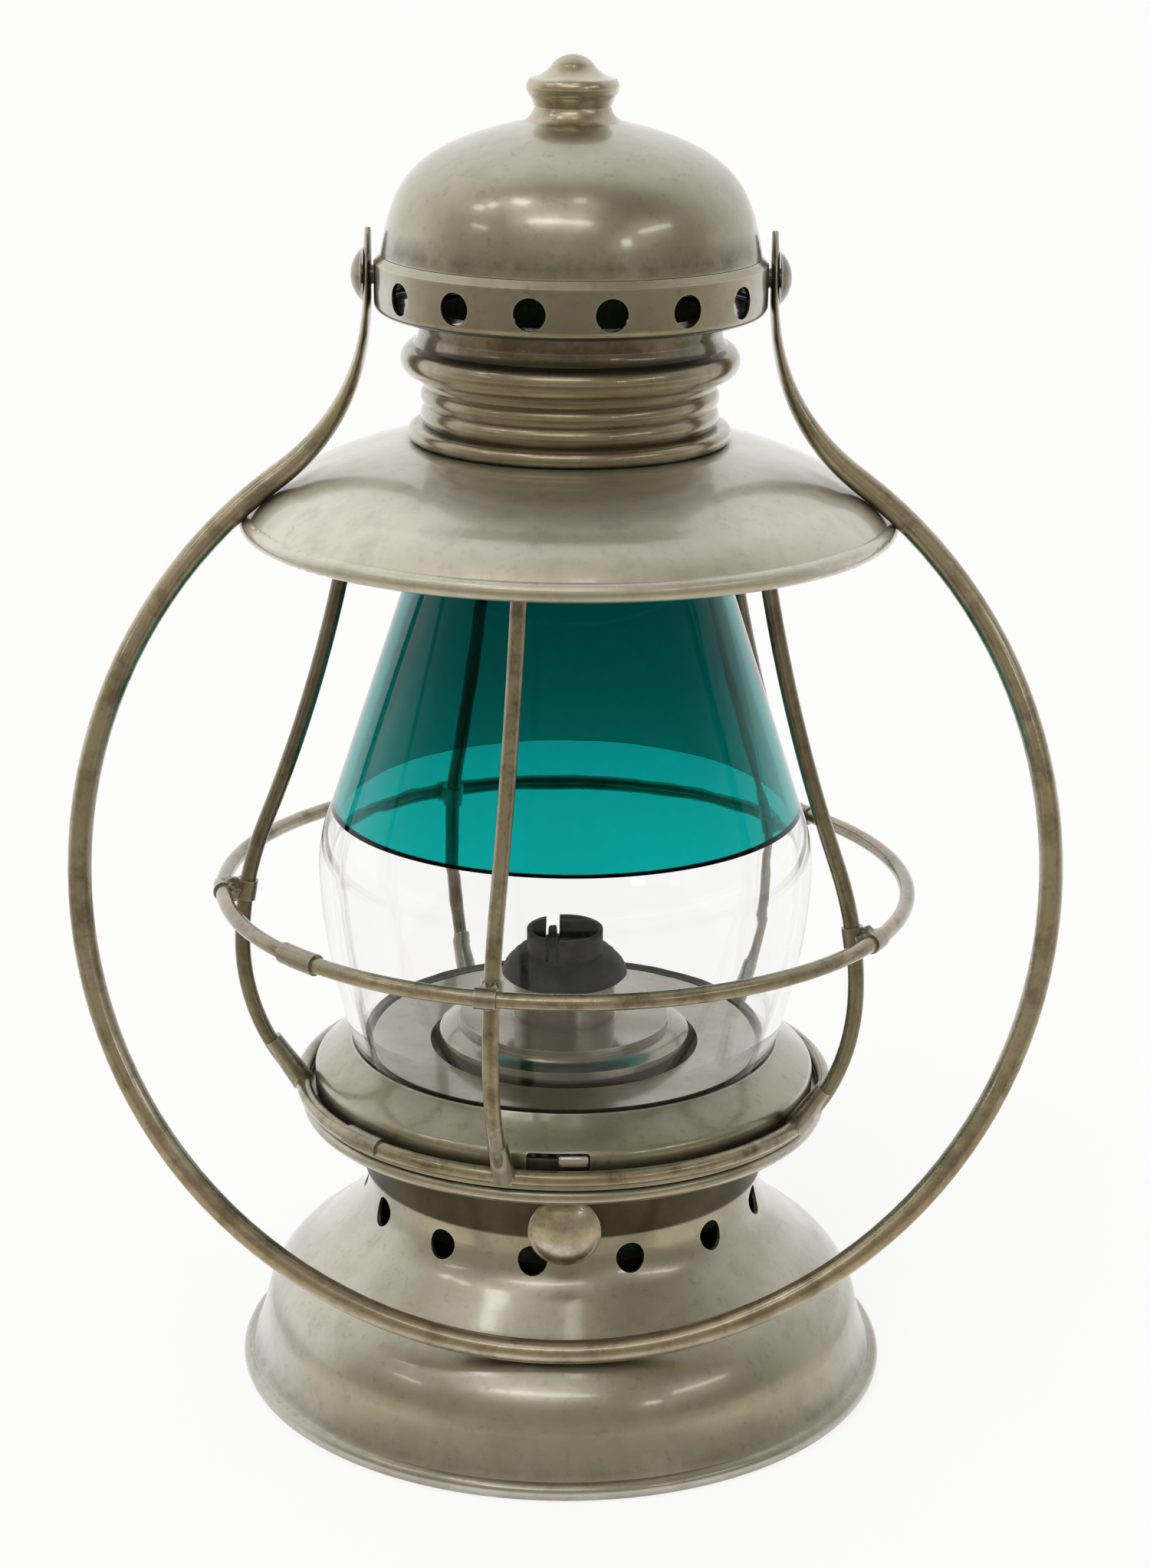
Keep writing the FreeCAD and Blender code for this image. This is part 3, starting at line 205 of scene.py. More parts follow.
def ramp(tree, factor, *stops):
    """A colour ramp over a factor; each stop is (place, grey value)."""
    node = add(tree, "ShaderNodeValToRGB", Fac=factor)
    elements = node.color_ramp.elements
    while len(elements) < len(stops):
        elements.new(0.5)
    for element, (place, grey) in zip(elements, stops):
        element.position = place
        element.color = (grey, grey, grey, 1.0)
    return node.outputs["Color"]


def mixed(tree, factor, first, second, mode="MIX"):
    """Mix two colours; a colour is a socket or three numbers."""
    node = add(tree, "ShaderNodeMix", {"data_type": "RGBA", "blend_type": mode})
    for index, value in ((MIX_FACTOR, factor), (MIX_FIRST, first), (MIX_SECOND, second)):
        feed(tree, node.inputs[index], value)
    return node.outputs[MIX_RESULT]


def parts_of(tree, vector):
    """The X, Y and Z of a vector."""
    return add(tree, "ShaderNodeSeparateXYZ", Vector=vector).outputs


print("colour helpers:", [helper.__name__ for helper in (ramp, mixed, parts_of)])

# %% Sky
DUSK = (1.0, 0.9, 0.68)
DAY = (1.0, 1.0, 0.98)
SKY_TONES = ((0.0, 0.34), (0.33, 0.26), (0.45, 0.38), (0.56, 0.72), (0.75, 0.92))
DAY_STARTS = ((0.35, 0.0), (0.6, 1.0))
WINDOW = 0.22


def from_front(tree, part):
    """0 straight in front of the lantern and 1 straight behind it, from the Y of a direction."""
    return reckon(tree, "ADD", reckon(tree, "MULTIPLY", part, 0.5), 0.5)


world = bpy.data.worlds.new("studio_room")
world.use_nodes = True
bpy.context.scene.world = world
tree = world.node_tree
direction = parts_of(tree, add(tree, "ShaderNodeTexCoord").outputs["Generated"])
behind = from_front(tree, direction["Y"])
tint = mixed(tree, ramp(tree, behind, *DAY_STARTS), DUSK, DAY)
room = mixed(tree, 1.0, ramp(tree, behind, *SKY_TONES), tint, "MULTIPLY")
window = reckon(tree, "SUBTRACT", 1.0, reckon(tree, "MULTIPLY", direction["X"], WINDOW))
room = mixed(tree, 1.0, room, window, "MULTIPLY")
tune(tree, tree.nodes["Background"], Color=room, Strength=1.0)
bpy.context.scene.view_settings.view_transform = "Standard"
print("sky tones:", len(SKY_TONES))

# %% [markdown]
# ## Suns and ceiling lamps
# Two broad suns light everything evenly. Mirrors don't show them, because a disc of that size would lie
# on the metal as a large white patch. The small bright streaks come from ceiling lamps: each panel hangs
# where the curve of the hat or the base sends its picture to the camera. The last one is broad and
# faint, and only lifts the tone of what faces up.

# %% Lamps
LANTERN_MIDDLE = Vector((0.0, 0.0, 0.15))
CEILING = 2.4
# Azimuth, elevation, strength and spread of each sun. Azimuth 0 is the camera's side, and grows to +X.
SUNS = {"key_sun": (-30, 55, 1.0, 30), "fill_sun": (60, 40, 0.45, 60)}
# Place, length, width and glow of each lamp. Glow is how bright its surface looks.
LAMPS = (
    ((-2.42, -0.67, CEILING), 0.4, 0.3, 4.0),
    ((-1.87, -0.79, CEILING), 0.25, 0.3, 4.0),
    ((-1.08, -0.93, CEILING), 0.4, 0.3, 4.0),
    ((0.17, -0.99, CEILING), 0.24, 0.3, 2.4),
    ((-3.89, -1.95, CEILING), 0.9, 0.2, 4.0),
    ((-0.38, -2.53, CEILING), 2.2, 0.26, 3.5),
    ((3.4, -2.19, CEILING), 1.8, 0.26, 4.0),
    ((3.09, -4.4, CEILING), 0.6, 0.4, 6.0),
    ((-0.6, -1.8, CEILING + 0.1), 2.6, 1.8, 0.4),
)


def shine_from(lamp, towards):
    """Turn a lamp so that its light comes from a direction; a lamp shines along its own -Z."""
    lamp.rotation_mode = "QUATERNION"
    lamp.rotation_quaternion = towards.to_track_quat("Z", "Y")


def sun(name, azimuth, elevation, strength, spread):
    """A soft sun that mirrors don't show."""
    data = bpy.data.lights.new(name, "SUN")
    data.energy = strength
    data.angle = math.radians(spread)
    lamp = put_in(name, data)
    around, up = math.radians(azimuth), math.radians(elevation)
    reach = math.cos(up)
    shine_from(lamp, Vector((math.sin(around) * reach, -math.cos(around) * reach, math.sin(up))))
    lamp.visible_glossy = False


def panel(name, place, length, width, glow):
    """A ceiling lamp that faces the lantern."""
    data = bpy.data.lights.new(name, "AREA")
    data.shape = "RECTANGLE"
    data.size = length
    data.size_y = width
    data.energy = glow * math.pi * length * width
    lamp = put_in(name, data)
    lamp.location = place
    shine_from(lamp, Vector(place) - LANTERN_MIDDLE)
    lamp.visible_camera = False


for name, values in SUNS.items():
    sun(name, *values)
for number, values in enumerate(LAMPS):
    panel("ceiling_lamp_%d" % number, *values)
print("lamps:", len(SUNS) + len(LAMPS))

# %% [markdown]
# ## The dark apron
# Upright metal mirrors the floor in front of it, and a white floor would make the base and the bands
# pale and flat. A photographer lays dark card there, outside the picture. Here a wide apron on the
# floor does that: only mirrors see it. It darkens with distance in front, and clears to the sides. Its
# finish asks where each point lies. Texture coordinates of the kind Object give that in metres, and
# they do so for the lantern's solids too, because each solid's object sits at the origin.

# %% Apron shape
APRON_NEAR, APRON_FAR = 0.1, 3.0
APRON_SPREAD = math.radians(125)
APRON_LIFT = 0.001
APRON_STEPS = 30

apron_points, apron_faces = [], []
for step in range(APRON_STEPS + 1):
    around = APRON_SPREAD * (2 * step / APRON_STEPS - 1)
    for reach in (APRON_NEAR, APRON_FAR):
        apron_points.append((reach * math.sin(around), -reach * math.cos(around), APRON_LIFT))
    if step:
        apron_faces.append((2 * step - 2, 2 * step - 1, 2 * step + 1, 2 * step))
apron_mesh = bpy.data.meshes.new("dark_apron")
apron_mesh.from_pydata(apron_points, [], apron_faces)
apron = put_in("dark_apron", apron_mesh)
apron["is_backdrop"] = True
apron.visible_camera = False
apron.visible_shadow = False
apron.visible_diffuse = False
apron.visible_transmission = False
print("apron radius in m:", APRON_FAR)

# %% Apron finish
NEAR_TONES = ((0.0, 0.5), (0.14, 0.85), (0.35, 0.72), (0.6, 0.62), (0.78, 0.9))
FAR_TONES = ((0.0, 0.13), (0.2, 0.22), (0.5, 0.42), (0.78, 1.0))
NEAR_TO_FAR = ((0.12, 0.0), (0.6, 1.0))
DUSK_ENDS = ((0.3, 0.0), (0.75, 1.0))


def place_of(tree):
    """Where a point lies in its object, in metres."""
    return add(tree, "ShaderNodeTexCoord").outputs["Object"]


def reckon_vector(tree, operation, *values):
    """One step of arithmetic on vectors; it gives both outputs, Vector and Value."""
    node = add(tree, "ShaderNodeVectorMath", {"operation": operation})
    for socket, value in zip(node.inputs, values):
        feed(tree, socket, value)
    return node.outputs


dusky, tree, shader = new_finish("dark_apron")
place = place_of(tree)
heading = reckon_vector(tree, "NORMALIZE", place)["Vector"]
aside = from_front(tree, parts_of(tree, heading)["Y"])
away = ramp(tree, reckon_vector(tree, "LENGTH", place)["Value"], *NEAR_TO_FAR)
tone = mixed(tree, away, ramp(tree, aside, *NEAR_TONES), ramp(tree, aside, *FAR_TONES))
tint = mixed(tree, ramp(tree, aside, *DUSK_ENDS), DUSK, WHITE)
tune(tree, shader, Emission_Color=mixed(tree, 1.0, tone, tint, "MULTIPLY"), Emission_Strength=1.0,
     Base_Color=(0.0, 0.0, 0.0), Specular_IOR_Level=0.0)
apron_mesh.materials.append(dusky)
print("apron tones:", len(NEAR_TONES) + len(FAR_TONES))

# %% [markdown]
# ## Smooth spun metal
# The solids arrive as triangles, face by face. Shading them smooth needs the faces joined first, and
# real creases have to stay sharp. A small geometry-node modifier does this without touching the mesh:
# it merges the seams, shades smooth, and marks the edges that turn by more than the crease angle.

# %% Smoothing modifier
CREASE = math.radians(33)
SEAM = 0.000004

joiner = bpy.data.node_groups.new("join_and_smooth", "GeometryNodeTree")
for way in ("INPUT", "OUTPUT"):
    joiner.interface.new_socket("Geometry", in_out=way, socket_type="NodeSocketGeometry")
entry = joiner.nodes.new("NodeGroupInput")
leave = joiner.nodes.new("NodeGroupOutput")
plain = add(joiner, "GeometryNodeRemoveAttribute", Geometry=entry.outputs[0], Name="custom_normal")
merged = add(joiner, "GeometryNodeMergeByDistance", Geometry=plain.outputs[0], Distance=SEAM)
smooth = add(joiner, "GeometryNodeSetShadeSmooth", {"domain": "FACE"}, Geometry=merged.outputs[0])
angle = add(joiner, "GeometryNodeInputMeshEdgeAngle").outputs["Unsigned Angle"]
sharp = add(joiner, "FunctionNodeCompare", {"data_type": "FLOAT", "operation": "GREATER_THAN"},
            A=angle, B=CREASE)
crease = add(joiner, "GeometryNodeSetShadeSmooth", {"domain": "EDGE"}, Geometry=smooth.outputs[0],
             Selection=sharp.outputs[0], Shade_Smooth=False)
feed(joiner, leave.inputs[0], crease.outputs[0])


def smooth_out(piece):
    """Join and smooth a piece by modifier."""
    modifier = piece.modifiers.new("join_and_smooth", "NODES")
    modifier.node_group = joiner


for node in nodes.values():
    smooth_out(node)
print("smoothed:", len(nodes))

# %% [markdown]
# ## Worn nickel plate
# The lantern is brass sheet, spun on a lathe and nickel plated, and a century of hands has dulled it.
# A metal is a Principled shader with full metallic; what makes it old is what varies over it. Three
# clouds of noise mottle the plate from grey to olive brown. An ambient occlusion node finds the
# creases and darkens them: painted shade, along with the polish and dirt that collect there. A bevel
# node finds the edges, which rub bright. A picture of real metal would need unwrapping, and would show
# its repeats on so many round pieces.

# %% Tarnish
# Each cloud is (scale, detail, roughness). A larger scale gives smaller clouds.
BROAD_CLOUD = (24.0, 7.0, 0.64)
SPECKLE_CLOUD = (420.0, 4.0, 0.7)
BARE_CLOUD = (130.0, 6.0, 0.68)
BARE = (0.11, 0.078, 0.032)
SPECKLE_SHADE = (0.6, 0.55, 0.5)
SPECKLE_SHARE = 0.7


def cloud(tree, place, scale, detail, roughness):
    """Noise between 0 and 1."""
    node = add(tree, "ShaderNodeTexNoise", Vector=place, Scale=scale, Detail=detail, Roughness=roughness)
    return node.outputs["Fac"]


def tarnished(tree, place, share):
    """How far broad clouds of tarnish cover the plate."""
    return ramp(tree, cloud(tree, place, *BROAD_CLOUD), (0.34, 0.0), (0.7, share))


def mottled(tree, place, plate, tarnish, broad, share, blotch):
    """The plate's colour: broad tarnish, dark speckle, and blotches where the plate is gone."""
    speckle = ramp(tree, cloud(tree, place, *SPECKLE_CLOUD), (0.56, 0.0), (0.76, share * SPECKLE_SHARE))
    bare = ramp(tree, cloud(tree, place, *BARE_CLOUD), (0.48, 0.0), (0.66, blotch))
    dark = tuple(part * shade for part, shade in zip(tarnish, SPECKLE_SHADE))
    colour = mixed(tree, speckle, mixed(tree, broad, plate, tarnish), dark)
    return mixed(tree, bare, colour, BARE)


print("scales of tarnish:", [layer[0] for layer in (BROAD_CLOUD, SPECKLE_CLOUD, BARE_CLOUD)])

# %% Grime, painted shade and rubbed edges
TIDE_CLOUD = (110.0, 5.0, 0.7)
PATCH_CLOUD = (70.0, 5.0, 0.6)
BELOW_SHADE_CLOUD = (60.0, 5.0, 0.6)
BELOW_SHADE_EDGE = 0.001
CREASE_REACH, CREASE_SAMPLES = 0.005, 6
EDGE_REACH, EDGE_SAMPLES = 0.0007, 4


def fade(tree, value, start, end):
    """0 at start, 1 at end, and a straight run between them."""
    return add(tree, "ShaderNodeMapRange", Value=value, From_Min=start, From_Max=end).outputs["Result"]


def tide(tree, place, level, reach):
    """A broken line of stain at one height: 1 on the line, fading out over its reach."""
    away = reckon(tree, "ABSOLUTE", reckon(tree, "SUBTRACT", parts_of(tree, place)["Z"], level))
    broken = ramp(tree, cloud(tree, place, *TIDE_CLOUD), (0.36, 0.3), (0.6, 1.0))
    return reckon(tree, "MULTIPLY", fade(tree, away, reach, 0.0), broken)


def grime_and_painted_shade(tree, place, tides, shaded_below):
    """Painted shade with dirt in the creases, stain along the tide lines, and painted shade below a given
    height.
    """
    shelter = add(tree, "ShaderNodeAmbientOcclusion", {"samples": CREASE_SAMPLES, "only_local": False},
                  Distance=CREASE_REACH)
    patchy = ramp(tree, cloud(tree, place, *PATCH_CLOUD), (0.3, 0.4), (0.65, 1.0))
    # Painted shade: ambient occlusion darkens the creases, together with the dirt in them.
    crease_shade = ramp(tree, shelter.outputs["AO"], (0.25, 0.85), (0.8, 0.0))
    grime_and_shade = mixed(tree, 1.0, crease_shade, patchy, "MULTIPLY")
    for level, reach, strength in tides:
        stain = reckon(tree, "MULTIPLY", tide(tree, place, level, reach), strength)
        grime_and_shade = reckon(tree, "MAXIMUM", grime_and_shade, stain)
    # Painted shade and painted reflection: everything below the given height is painted dark.
    if shaded_below:
        below = fade(tree, parts_of(tree, place)["Z"], shaded_below + BELOW_SHADE_EDGE, shaded_below - BELOW_SHADE_EDGE)
        cover = ramp(tree, cloud(tree, place, *BELOW_SHADE_CLOUD), (0.35, 0.88), (0.65, 1.0))
        grime_and_shade = reckon(tree, "MAXIMUM", grime_and_shade, reckon(tree, "MULTIPLY", below, cover))
    return grime_and_shade


def rubbed_edges(tree):
    """High on edges, where a rounded normal turns away from the real one."""
    rounded = add(tree, "ShaderNodeBevel", {"samples": EDGE_SAMPLES}, Radius=EDGE_REACH).outputs["Normal"]
    surface = add(tree, "ShaderNodeNewGeometry").outputs["Normal"]
    agree = reckon_vector(tree, "DOT_PRODUCT", rounded, surface)["Value"]
    return ramp(tree, agree, (0.9, 0.6), (0.985, 0.0))


print("grime reaches out of a crease, in mm:", CREASE_REACH * 1000)

# %% [markdown]
# ## Soot, painted shade, and lathe marks
# The flame has blackened the inside of the hat with soot. Inside the base the same black is painted
# shade, since little light gets in there. A wall that faces the axis is an inside wall, so the angle
# between its normal and the way out finds it, and one finish serves both sides of the sheet. Fine
# lines run round the axis, because the sheet turned under the spinner's tool. They are noise that knows
# only the distance from the axis and the height, so it can't change round a ring.

# %% Soot, painted shade and relief
LINE_CLOUD = (900.0, 2.0, 0.5)
PIT_CLOUD = (160.0, 5.0, 0.65)
DENT_CLOUD = (40.0, 2.0, 0.5)
LINE_SHARE, DENT_SHARE = 0.3, 2.5
LEVEL_ONLY = (1.0, 1.0, 0.0)


def ring_lines(tree):
    """Coordinates that don't change round the axis: distance from it, and height."""
    spot = parts_of(tree, place_of(tree))
    flat = add(tree, "ShaderNodeCombineXYZ", X=spot["X"], Y=spot["Y"]).outputs["Vector"]
    reach = reckon_vector(tree, "LENGTH", flat)["Value"]
    return add(tree, "ShaderNodeCombineXYZ", X=reach, Y=spot["Z"]).outputs["Vector"]


def faces_in(tree):
    """1 on walls that face the axis."""
    spot = add(tree, "ShaderNodeTexCoord").outputs
    flat = reckon_vector(tree, "MULTIPLY", spot["Object"], LEVEL_ONLY)["Vector"]
    outward = reckon_vector(tree, "NORMALIZE", flat)["Vector"]
    along = reckon_vector(tree, "DOT_PRODUCT", outward, spot["Normal"])["Value"]
    return ramp(tree, reckon(tree, "MULTIPLY", along, -1.0), (0.55, 0.0), (0.7, 1.0))


def lies_within(tree, radius, height):
    """1 inside a radius and below a height, as in the depth of a vent hole."""
    spot = parts_of(tree, ring_lines(tree))
    return reckon(tree, "MULTIPLY", reckon(tree, "LESS_THAN", spot["X"], radius),
                  reckon(tree, "LESS_THAN", spot["Y"], height))


def spun_relief(tree, place):
    """Lathe lines, pits and shallow dents, added up."""
    lines = cloud(tree, ring_lines(tree), *LINE_CLOUD)
    pits = cloud(tree, place, *PIT_CLOUD)
    dents = cloud(tree, place, *DENT_CLOUD)
    relief = reckon(tree, "ADD", reckon(tree, "MULTIPLY", lines, LINE_SHARE), pits)
    return reckon(tree, "ADD", relief, reckon(tree, "MULTIPLY", dents, DENT_SHARE))


print("shares of lines and dents against pits:", LINE_SHARE, DENT_SHARE)

# %% [markdown]
# ## One recipe for every piece of plate
# All the metal had the same plate once, and besides the brim's painted light only its wear differs. So
# one function makes every metal finish, and each piece says how tarnished, dull, stained or smoked it
# is, and where shade is painted on it. A thin coat lies over the duller metal and gives the sharp
# streaks that polished plate still shows.

# %% Nickel recipe
GRIME_AND_SHADE = (0.075, 0.055, 0.026)
RUBBED = (0.66, 0.61, 0.52)
# Black for soot in the hat, and for painted shade inside the base and in the vent holes.
SOOT_AND_SHADE_BLACK = (0.003, 0.003, 0.002)
COAT_IOR = 1.65
COAT_ROUGHNESS = 0.1
TARNISH_DULLS, GRIME_AND_SHADE_DULLS = 0.2, 0.3
RELIEF_STRENGTH, RELIEF_DEPTH = 0.12, 0.0003


def roughen(tree, shader, height, strength, depth):
    """Raise fine relief in the shading of a finish."""
    bump = add(tree, "ShaderNodeBump", Strength=strength, Distance=depth, Height=height)
    tune(tree, shader, Normal=bump.outputs["Normal"])


def worn_nickel(name, plate=(0.56, 0.53, 0.45), tarnish=(0.33, 0.285, 0.17), share=0.6, dull=0.28,
                metal=1.0, blotch=0.15, gloss=1.0, soot_and_shade_inside=False, shade_black_within=None,
                tides=(), shaded_below=None):
    """One finish of worn plate.

    share says how far tarnish covers it, blotch how much of it is gone, dull how rough it is where it
    is clean, metal how metallic it is, and gloss how heavy its coat is. Inner walls can be painted black:
    soot in the hat, painted shade in the base. A (radius, height) marks what is painted black all
    through, as painted shade in the vent holes. Each of the tides is (height, reach, strength), and
    below a given height all is painted dark, as painted shade. Creases darken with painted shade and dirt.
    """
    material, tree, shader = new_finish(name)
    place = place_of(tree)
    broad = tarnished(tree, place, share)
    # Stains, plus painted shade in the creases and below an overhang, all mixed towards the grime colour.
    grime_and_shade = grime_and_painted_shade(tree, place, tides, shaded_below)
    colour = mottled(tree, place, plate, tarnish, broad, share, blotch)
    colour = mixed(tree, grime_and_shade, colour, GRIME_AND_SHADE)
    colour = mixed(tree, rubbed_edges(tree), colour, RUBBED)
    # Inner walls painted black: soot in the hat, painted shade in the base.
    if soot_and_shade_inside:
        colour = mixed(tree, faces_in(tree), colour, SOOT_AND_SHADE_BLACK)
    # Painted shade: the depth of the vent holes is painted black.
    if shade_black_within:
        colour = mixed(tree, lies_within(tree, *shade_black_within), colour, SOOT_AND_SHADE_BLACK)
    rough = reckon(tree, "ADD", reckon(tree, "MULTIPLY", broad, TARNISH_DULLS), dull)
    rough = reckon(tree, "ADD", rough, reckon(tree, "MULTIPLY", grime_and_shade, GRIME_AND_SHADE_DULLS))
    tune(tree, shader, Base_Color=colour, Roughness=rough, Metallic=metal, Coat_Weight=gloss,
         Coat_IOR=COAT_IOR, Coat_Roughness=COAT_ROUGHNESS)
    roughen(tree, shader, spun_relief(tree, place), RELIEF_STRENGTH, RELIEF_DEPTH)
    return material


print("coat roughness:", COAT_ROUGHNESS)

# %% [markdown]
# ## The hat
# Heat and smoke have yellowed the chimney and the finial. The brim below is pale and satin more than
# bright, and its paler plate is also painted light, for the bright room that it faces. A tide line marks
# the foot of the dome, and another the top of the ribbed collar. The depth of the vent holes is painted
# black, as painted shade of the dark chimney behind them. The dome gets its finish later, with its own
# mesh.

# %% Hat finishes
DOME_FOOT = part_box("smoke_dome")[0].z
COLLAR_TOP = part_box("chimney_collar")[1].z
VENT_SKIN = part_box("vent_band")[1].x - 0.0004
VENT_TOP = DOME_FOOT - 0.0026
DOME_TIDE = (DOME_FOOT + 0.002, 0.004, 0.65)
COLLAR_TIDE = (COLLAR_TOP - 0.003, 0.006, 0.8)
dressed = {}


def dress(material, *names):
    """Give CAD pieces a finish."""
    for name in names:
        data = nodes[name].data
        data.materials.clear()
        data.materials.append(material)
        dressed[name] = material.name


hat_nickel = worn_nickel("hat_nickel", plate=(0.52, 0.49, 0.4), share=0.7, dull=0.25, soot_and_shade_inside=True,
                         tides=(DOME_TIDE,))
# The brim's plate is paler than the hat's: painted light, a lighter copy of the same nickel for the bright
# room it faces.
brim_nickel_lit = worn_nickel("brim_nickel_lit", plate=(0.78, 0.755, 0.655), share=0.35, dull=0.42, soot_and_shade_inside=True)
finial_nickel = worn_nickel("finial_nickel", plate=(0.6, 0.54, 0.41), tarnish=(0.34, 0.26, 0.12),
                            share=0.85, dull=0.26, blotch=0.3)
# The depth of the vent holes is painted black, as painted shade.
vent_nickel = worn_nickel("vent_nickel", plate=(0.5, 0.46, 0.35), share=0.7, dull=0.26,
                          shade_black_within=(VENT_SKIN, VENT_TOP))
collar_nickel = worn_nickel("collar_nickel", plate=(0.5, 0.44, 0.32), tarnish=(0.26, 0.2, 0.1),
                            share=0.75, dull=0.22, tides=(COLLAR_TIDE,))
dress(brim_nickel_lit, "hat_brim")
dress(finial_nickel, "finial")
dress(vent_nickel, "vent_band")
dress(collar_nickel, "chimney_collar")
print("hat pieces dressed:", len(dressed))

# %% [markdown]
# ## The base
# The bell's plate is even and fairly clean, with a stain in the groove above the rolled rim. Its inner
# walls are painted black, as painted shade. The sleeve under the globe plate is painted dark nearly to
# its top: painted shade and a painted reflection of the dark underside above it. The knob is rubbed
# bright by fingers, and the lugs of the bayonet by their slots. The lugs are worn round as well: a bevel
# modifier takes their edges off, and leaves the solid's own mesh alone.

# %% Base finishes
RIM_GROOVE = 0.0048
SLEEVE_SHADE_TOP = 0.054
RIM_TIDE = (RIM_GROOVE, 0.003, 0.5)

# The bell's inner walls are painted black, as painted shade.
base_nickel = worn_nickel("base_nickel", plate=(0.54, 0.52, 0.45), share=0.6, dull=0.28, gloss=0.85,
                          soot_and_shade_inside=True, tides=(RIM_TIDE,))
# The sleeve is painted dark below its top, as painted shade and painted reflection under the bead.
sleeve_nickel = worn_nickel("sleeve_nickel", share=0.5, dull=0.26, gloss=0.3, shaded_below=SLEEVE_SHADE_TOP)
plate_nickel = worn_nickel("plate_nickel", plate=(0.43, 0.41, 0.32), tarnish=(0.25, 0.23, 0.13),
                           share=0.75, dull=0.3)
knob_nickel = worn_nickel("knob_nickel", plate=(0.74, 0.68, 0.55), tarnish=(0.32, 0.24, 0.12),
                          share=0.8, dull=0.25, blotch=0.6)
lug_bright = worn_nickel("lug_bright", plate=(0.75, 0.72, 0.66), tarnish=(0.4, 0.36, 0.26),
                         share=0.3, dull=0.25)
dress(base_nickel, "base_bell", "base_floor", "fount")
dress(sleeve_nickel, "base_collar")
dress(plate_nickel, "globe_plate")
dress(knob_nickel, "wick_knob")
dress(lug_bright, "bayonet_lugs")
print("pieces dressed so far:", len(dressed))

# %% Worn lugs
LUG_WEAR = 0.0008
LUG_STEPS = 4

worn = nodes["bayonet_lugs"].modifiers.new("worn_edges", "BEVEL")
worn.width = LUG_WEAR
worn.segments = LUG_STEPS
worn.limit_method = "ANGLE"
print("wear of the lugs in mm:", LUG_WEAR * 1000)

# %% [markdown]
# ## Wire and solder
# The guard wires are knocked and handled, and much of their plate is gone, so they are browner and more
# blotched than the sheet. A lower metallic value keeps the bare, dirty wire from shining like plate.
# The upright at the front is a little cleaner than the other four. Ties, feet and ferrules have the dull
# grey of solder.

# %% Wire finishes
FRONT_UPRIGHT = "guard_upright_1"
OTHER_UPRIGHTS = ["guard_upright_%d" % number for number in range(2, 6)]

wire_nickel = worn_nickel("wire_nickel", plate=(0.42, 0.36, 0.24), tarnish=(0.2, 0.15, 0.075),
                          share=0.8, dull=0.24, metal=0.8, blotch=0.85)
wire_dark = worn_nickel("wire_dark", plate=(0.26, 0.215, 0.13), tarnish=(0.11, 0.085, 0.04),
                        share=0.9, dull=0.26, metal=0.7, blotch=0.85)
solder_grey = worn_nickel("solder_grey", plate=(0.4, 0.36, 0.27), tarnish=(0.2, 0.16, 0.09),
                          share=0.7, dull=0.34, blotch=0.5)
bail_nickel = worn_nickel("bail_nickel", plate=(0.52, 0.44, 0.32), tarnish=(0.27, 0.205, 0.11),
                          share=0.75, dull=0.24, metal=0.9, blotch=0.65)
dress(wire_nickel, "guard_ring", "guard_hoop", FRONT_UPRIGHT)
dress(wire_dark, "bail_rivet_left", "bail_rivet_right", *OTHER_UPRIGHTS)
dress(solder_grey, "guard_feet", "hoop_ties", "ring_ferrule", "hoop_ferrule")
dress(bail_nickel, "bail")
print("pieces dressed so far:", len(dressed))

# %% [markdown]
# ## The spun dome
# The dome was spun over a wooden form in one sweep, so no line breaks its curve from the band to the
# finial. One curve with four handles, drawn to follow the photographed outline, gives that sweep. A
# Screw modifier could turn it round the axis. Mesh code is used instead, because the sheet needs an
# inner skin at an even depth, and the globe can use the same helpers. The thin closed shell takes the
# place of the dome's solid, built from three arcs.

# %% Lathe helpers
AROUND = 192


def ring_of(height, radius_at):
    """A level ring of points; radius_at gives the radius for each turn."""
    turns = [2 * math.pi * step / AROUND for step in range(AROUND)]
    return [(radius_at(turn) * math.cos(turn), radius_at(turn) * math.sin(turn), height) for turn in turns]


def wrap(name, rings):
    """A closed skin over rings; the last ring joins the first."""
    skin = bmesh.new()
    loops = [[skin.verts.new(point) for point in ring] for ring in rings]
    for index, loop in enumerate(loops):
        after = loops[(index + 1) % len(loops)]
        for step in range(AROUND):
            turn_on = (step + 1) % AROUND
            skin.faces.new((loop[step], loop[turn_on], after[turn_on], after[step]))
    bmesh.ops.recalc_face_normals(skin, faces=skin.faces)
    mesh = bpy.data.meshes.new(name)
    skin.to_mesh(mesh)
    skin.free()
    piece = put_in(name, mesh)
    smooth_out(piece)
    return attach(piece, "upper_frame")


print("points in a ring:", AROUND)

# %% Dome shell
SHEET = 0.0008
DOME_CURVE = ((0.0372, 0.2345), (0.03507, 0.247), (0.0328, 0.2553), (0.008, 0.2602))
DOME_STEPS = 60


def on_sweep(points, share):
    """A point on the sweep, found by dividing the lines between its handles again and again."""
    while len(points) > 1:
        points = [low.lerp(high, share) for low, high in zip(points, points[1:])]
    return points[0]


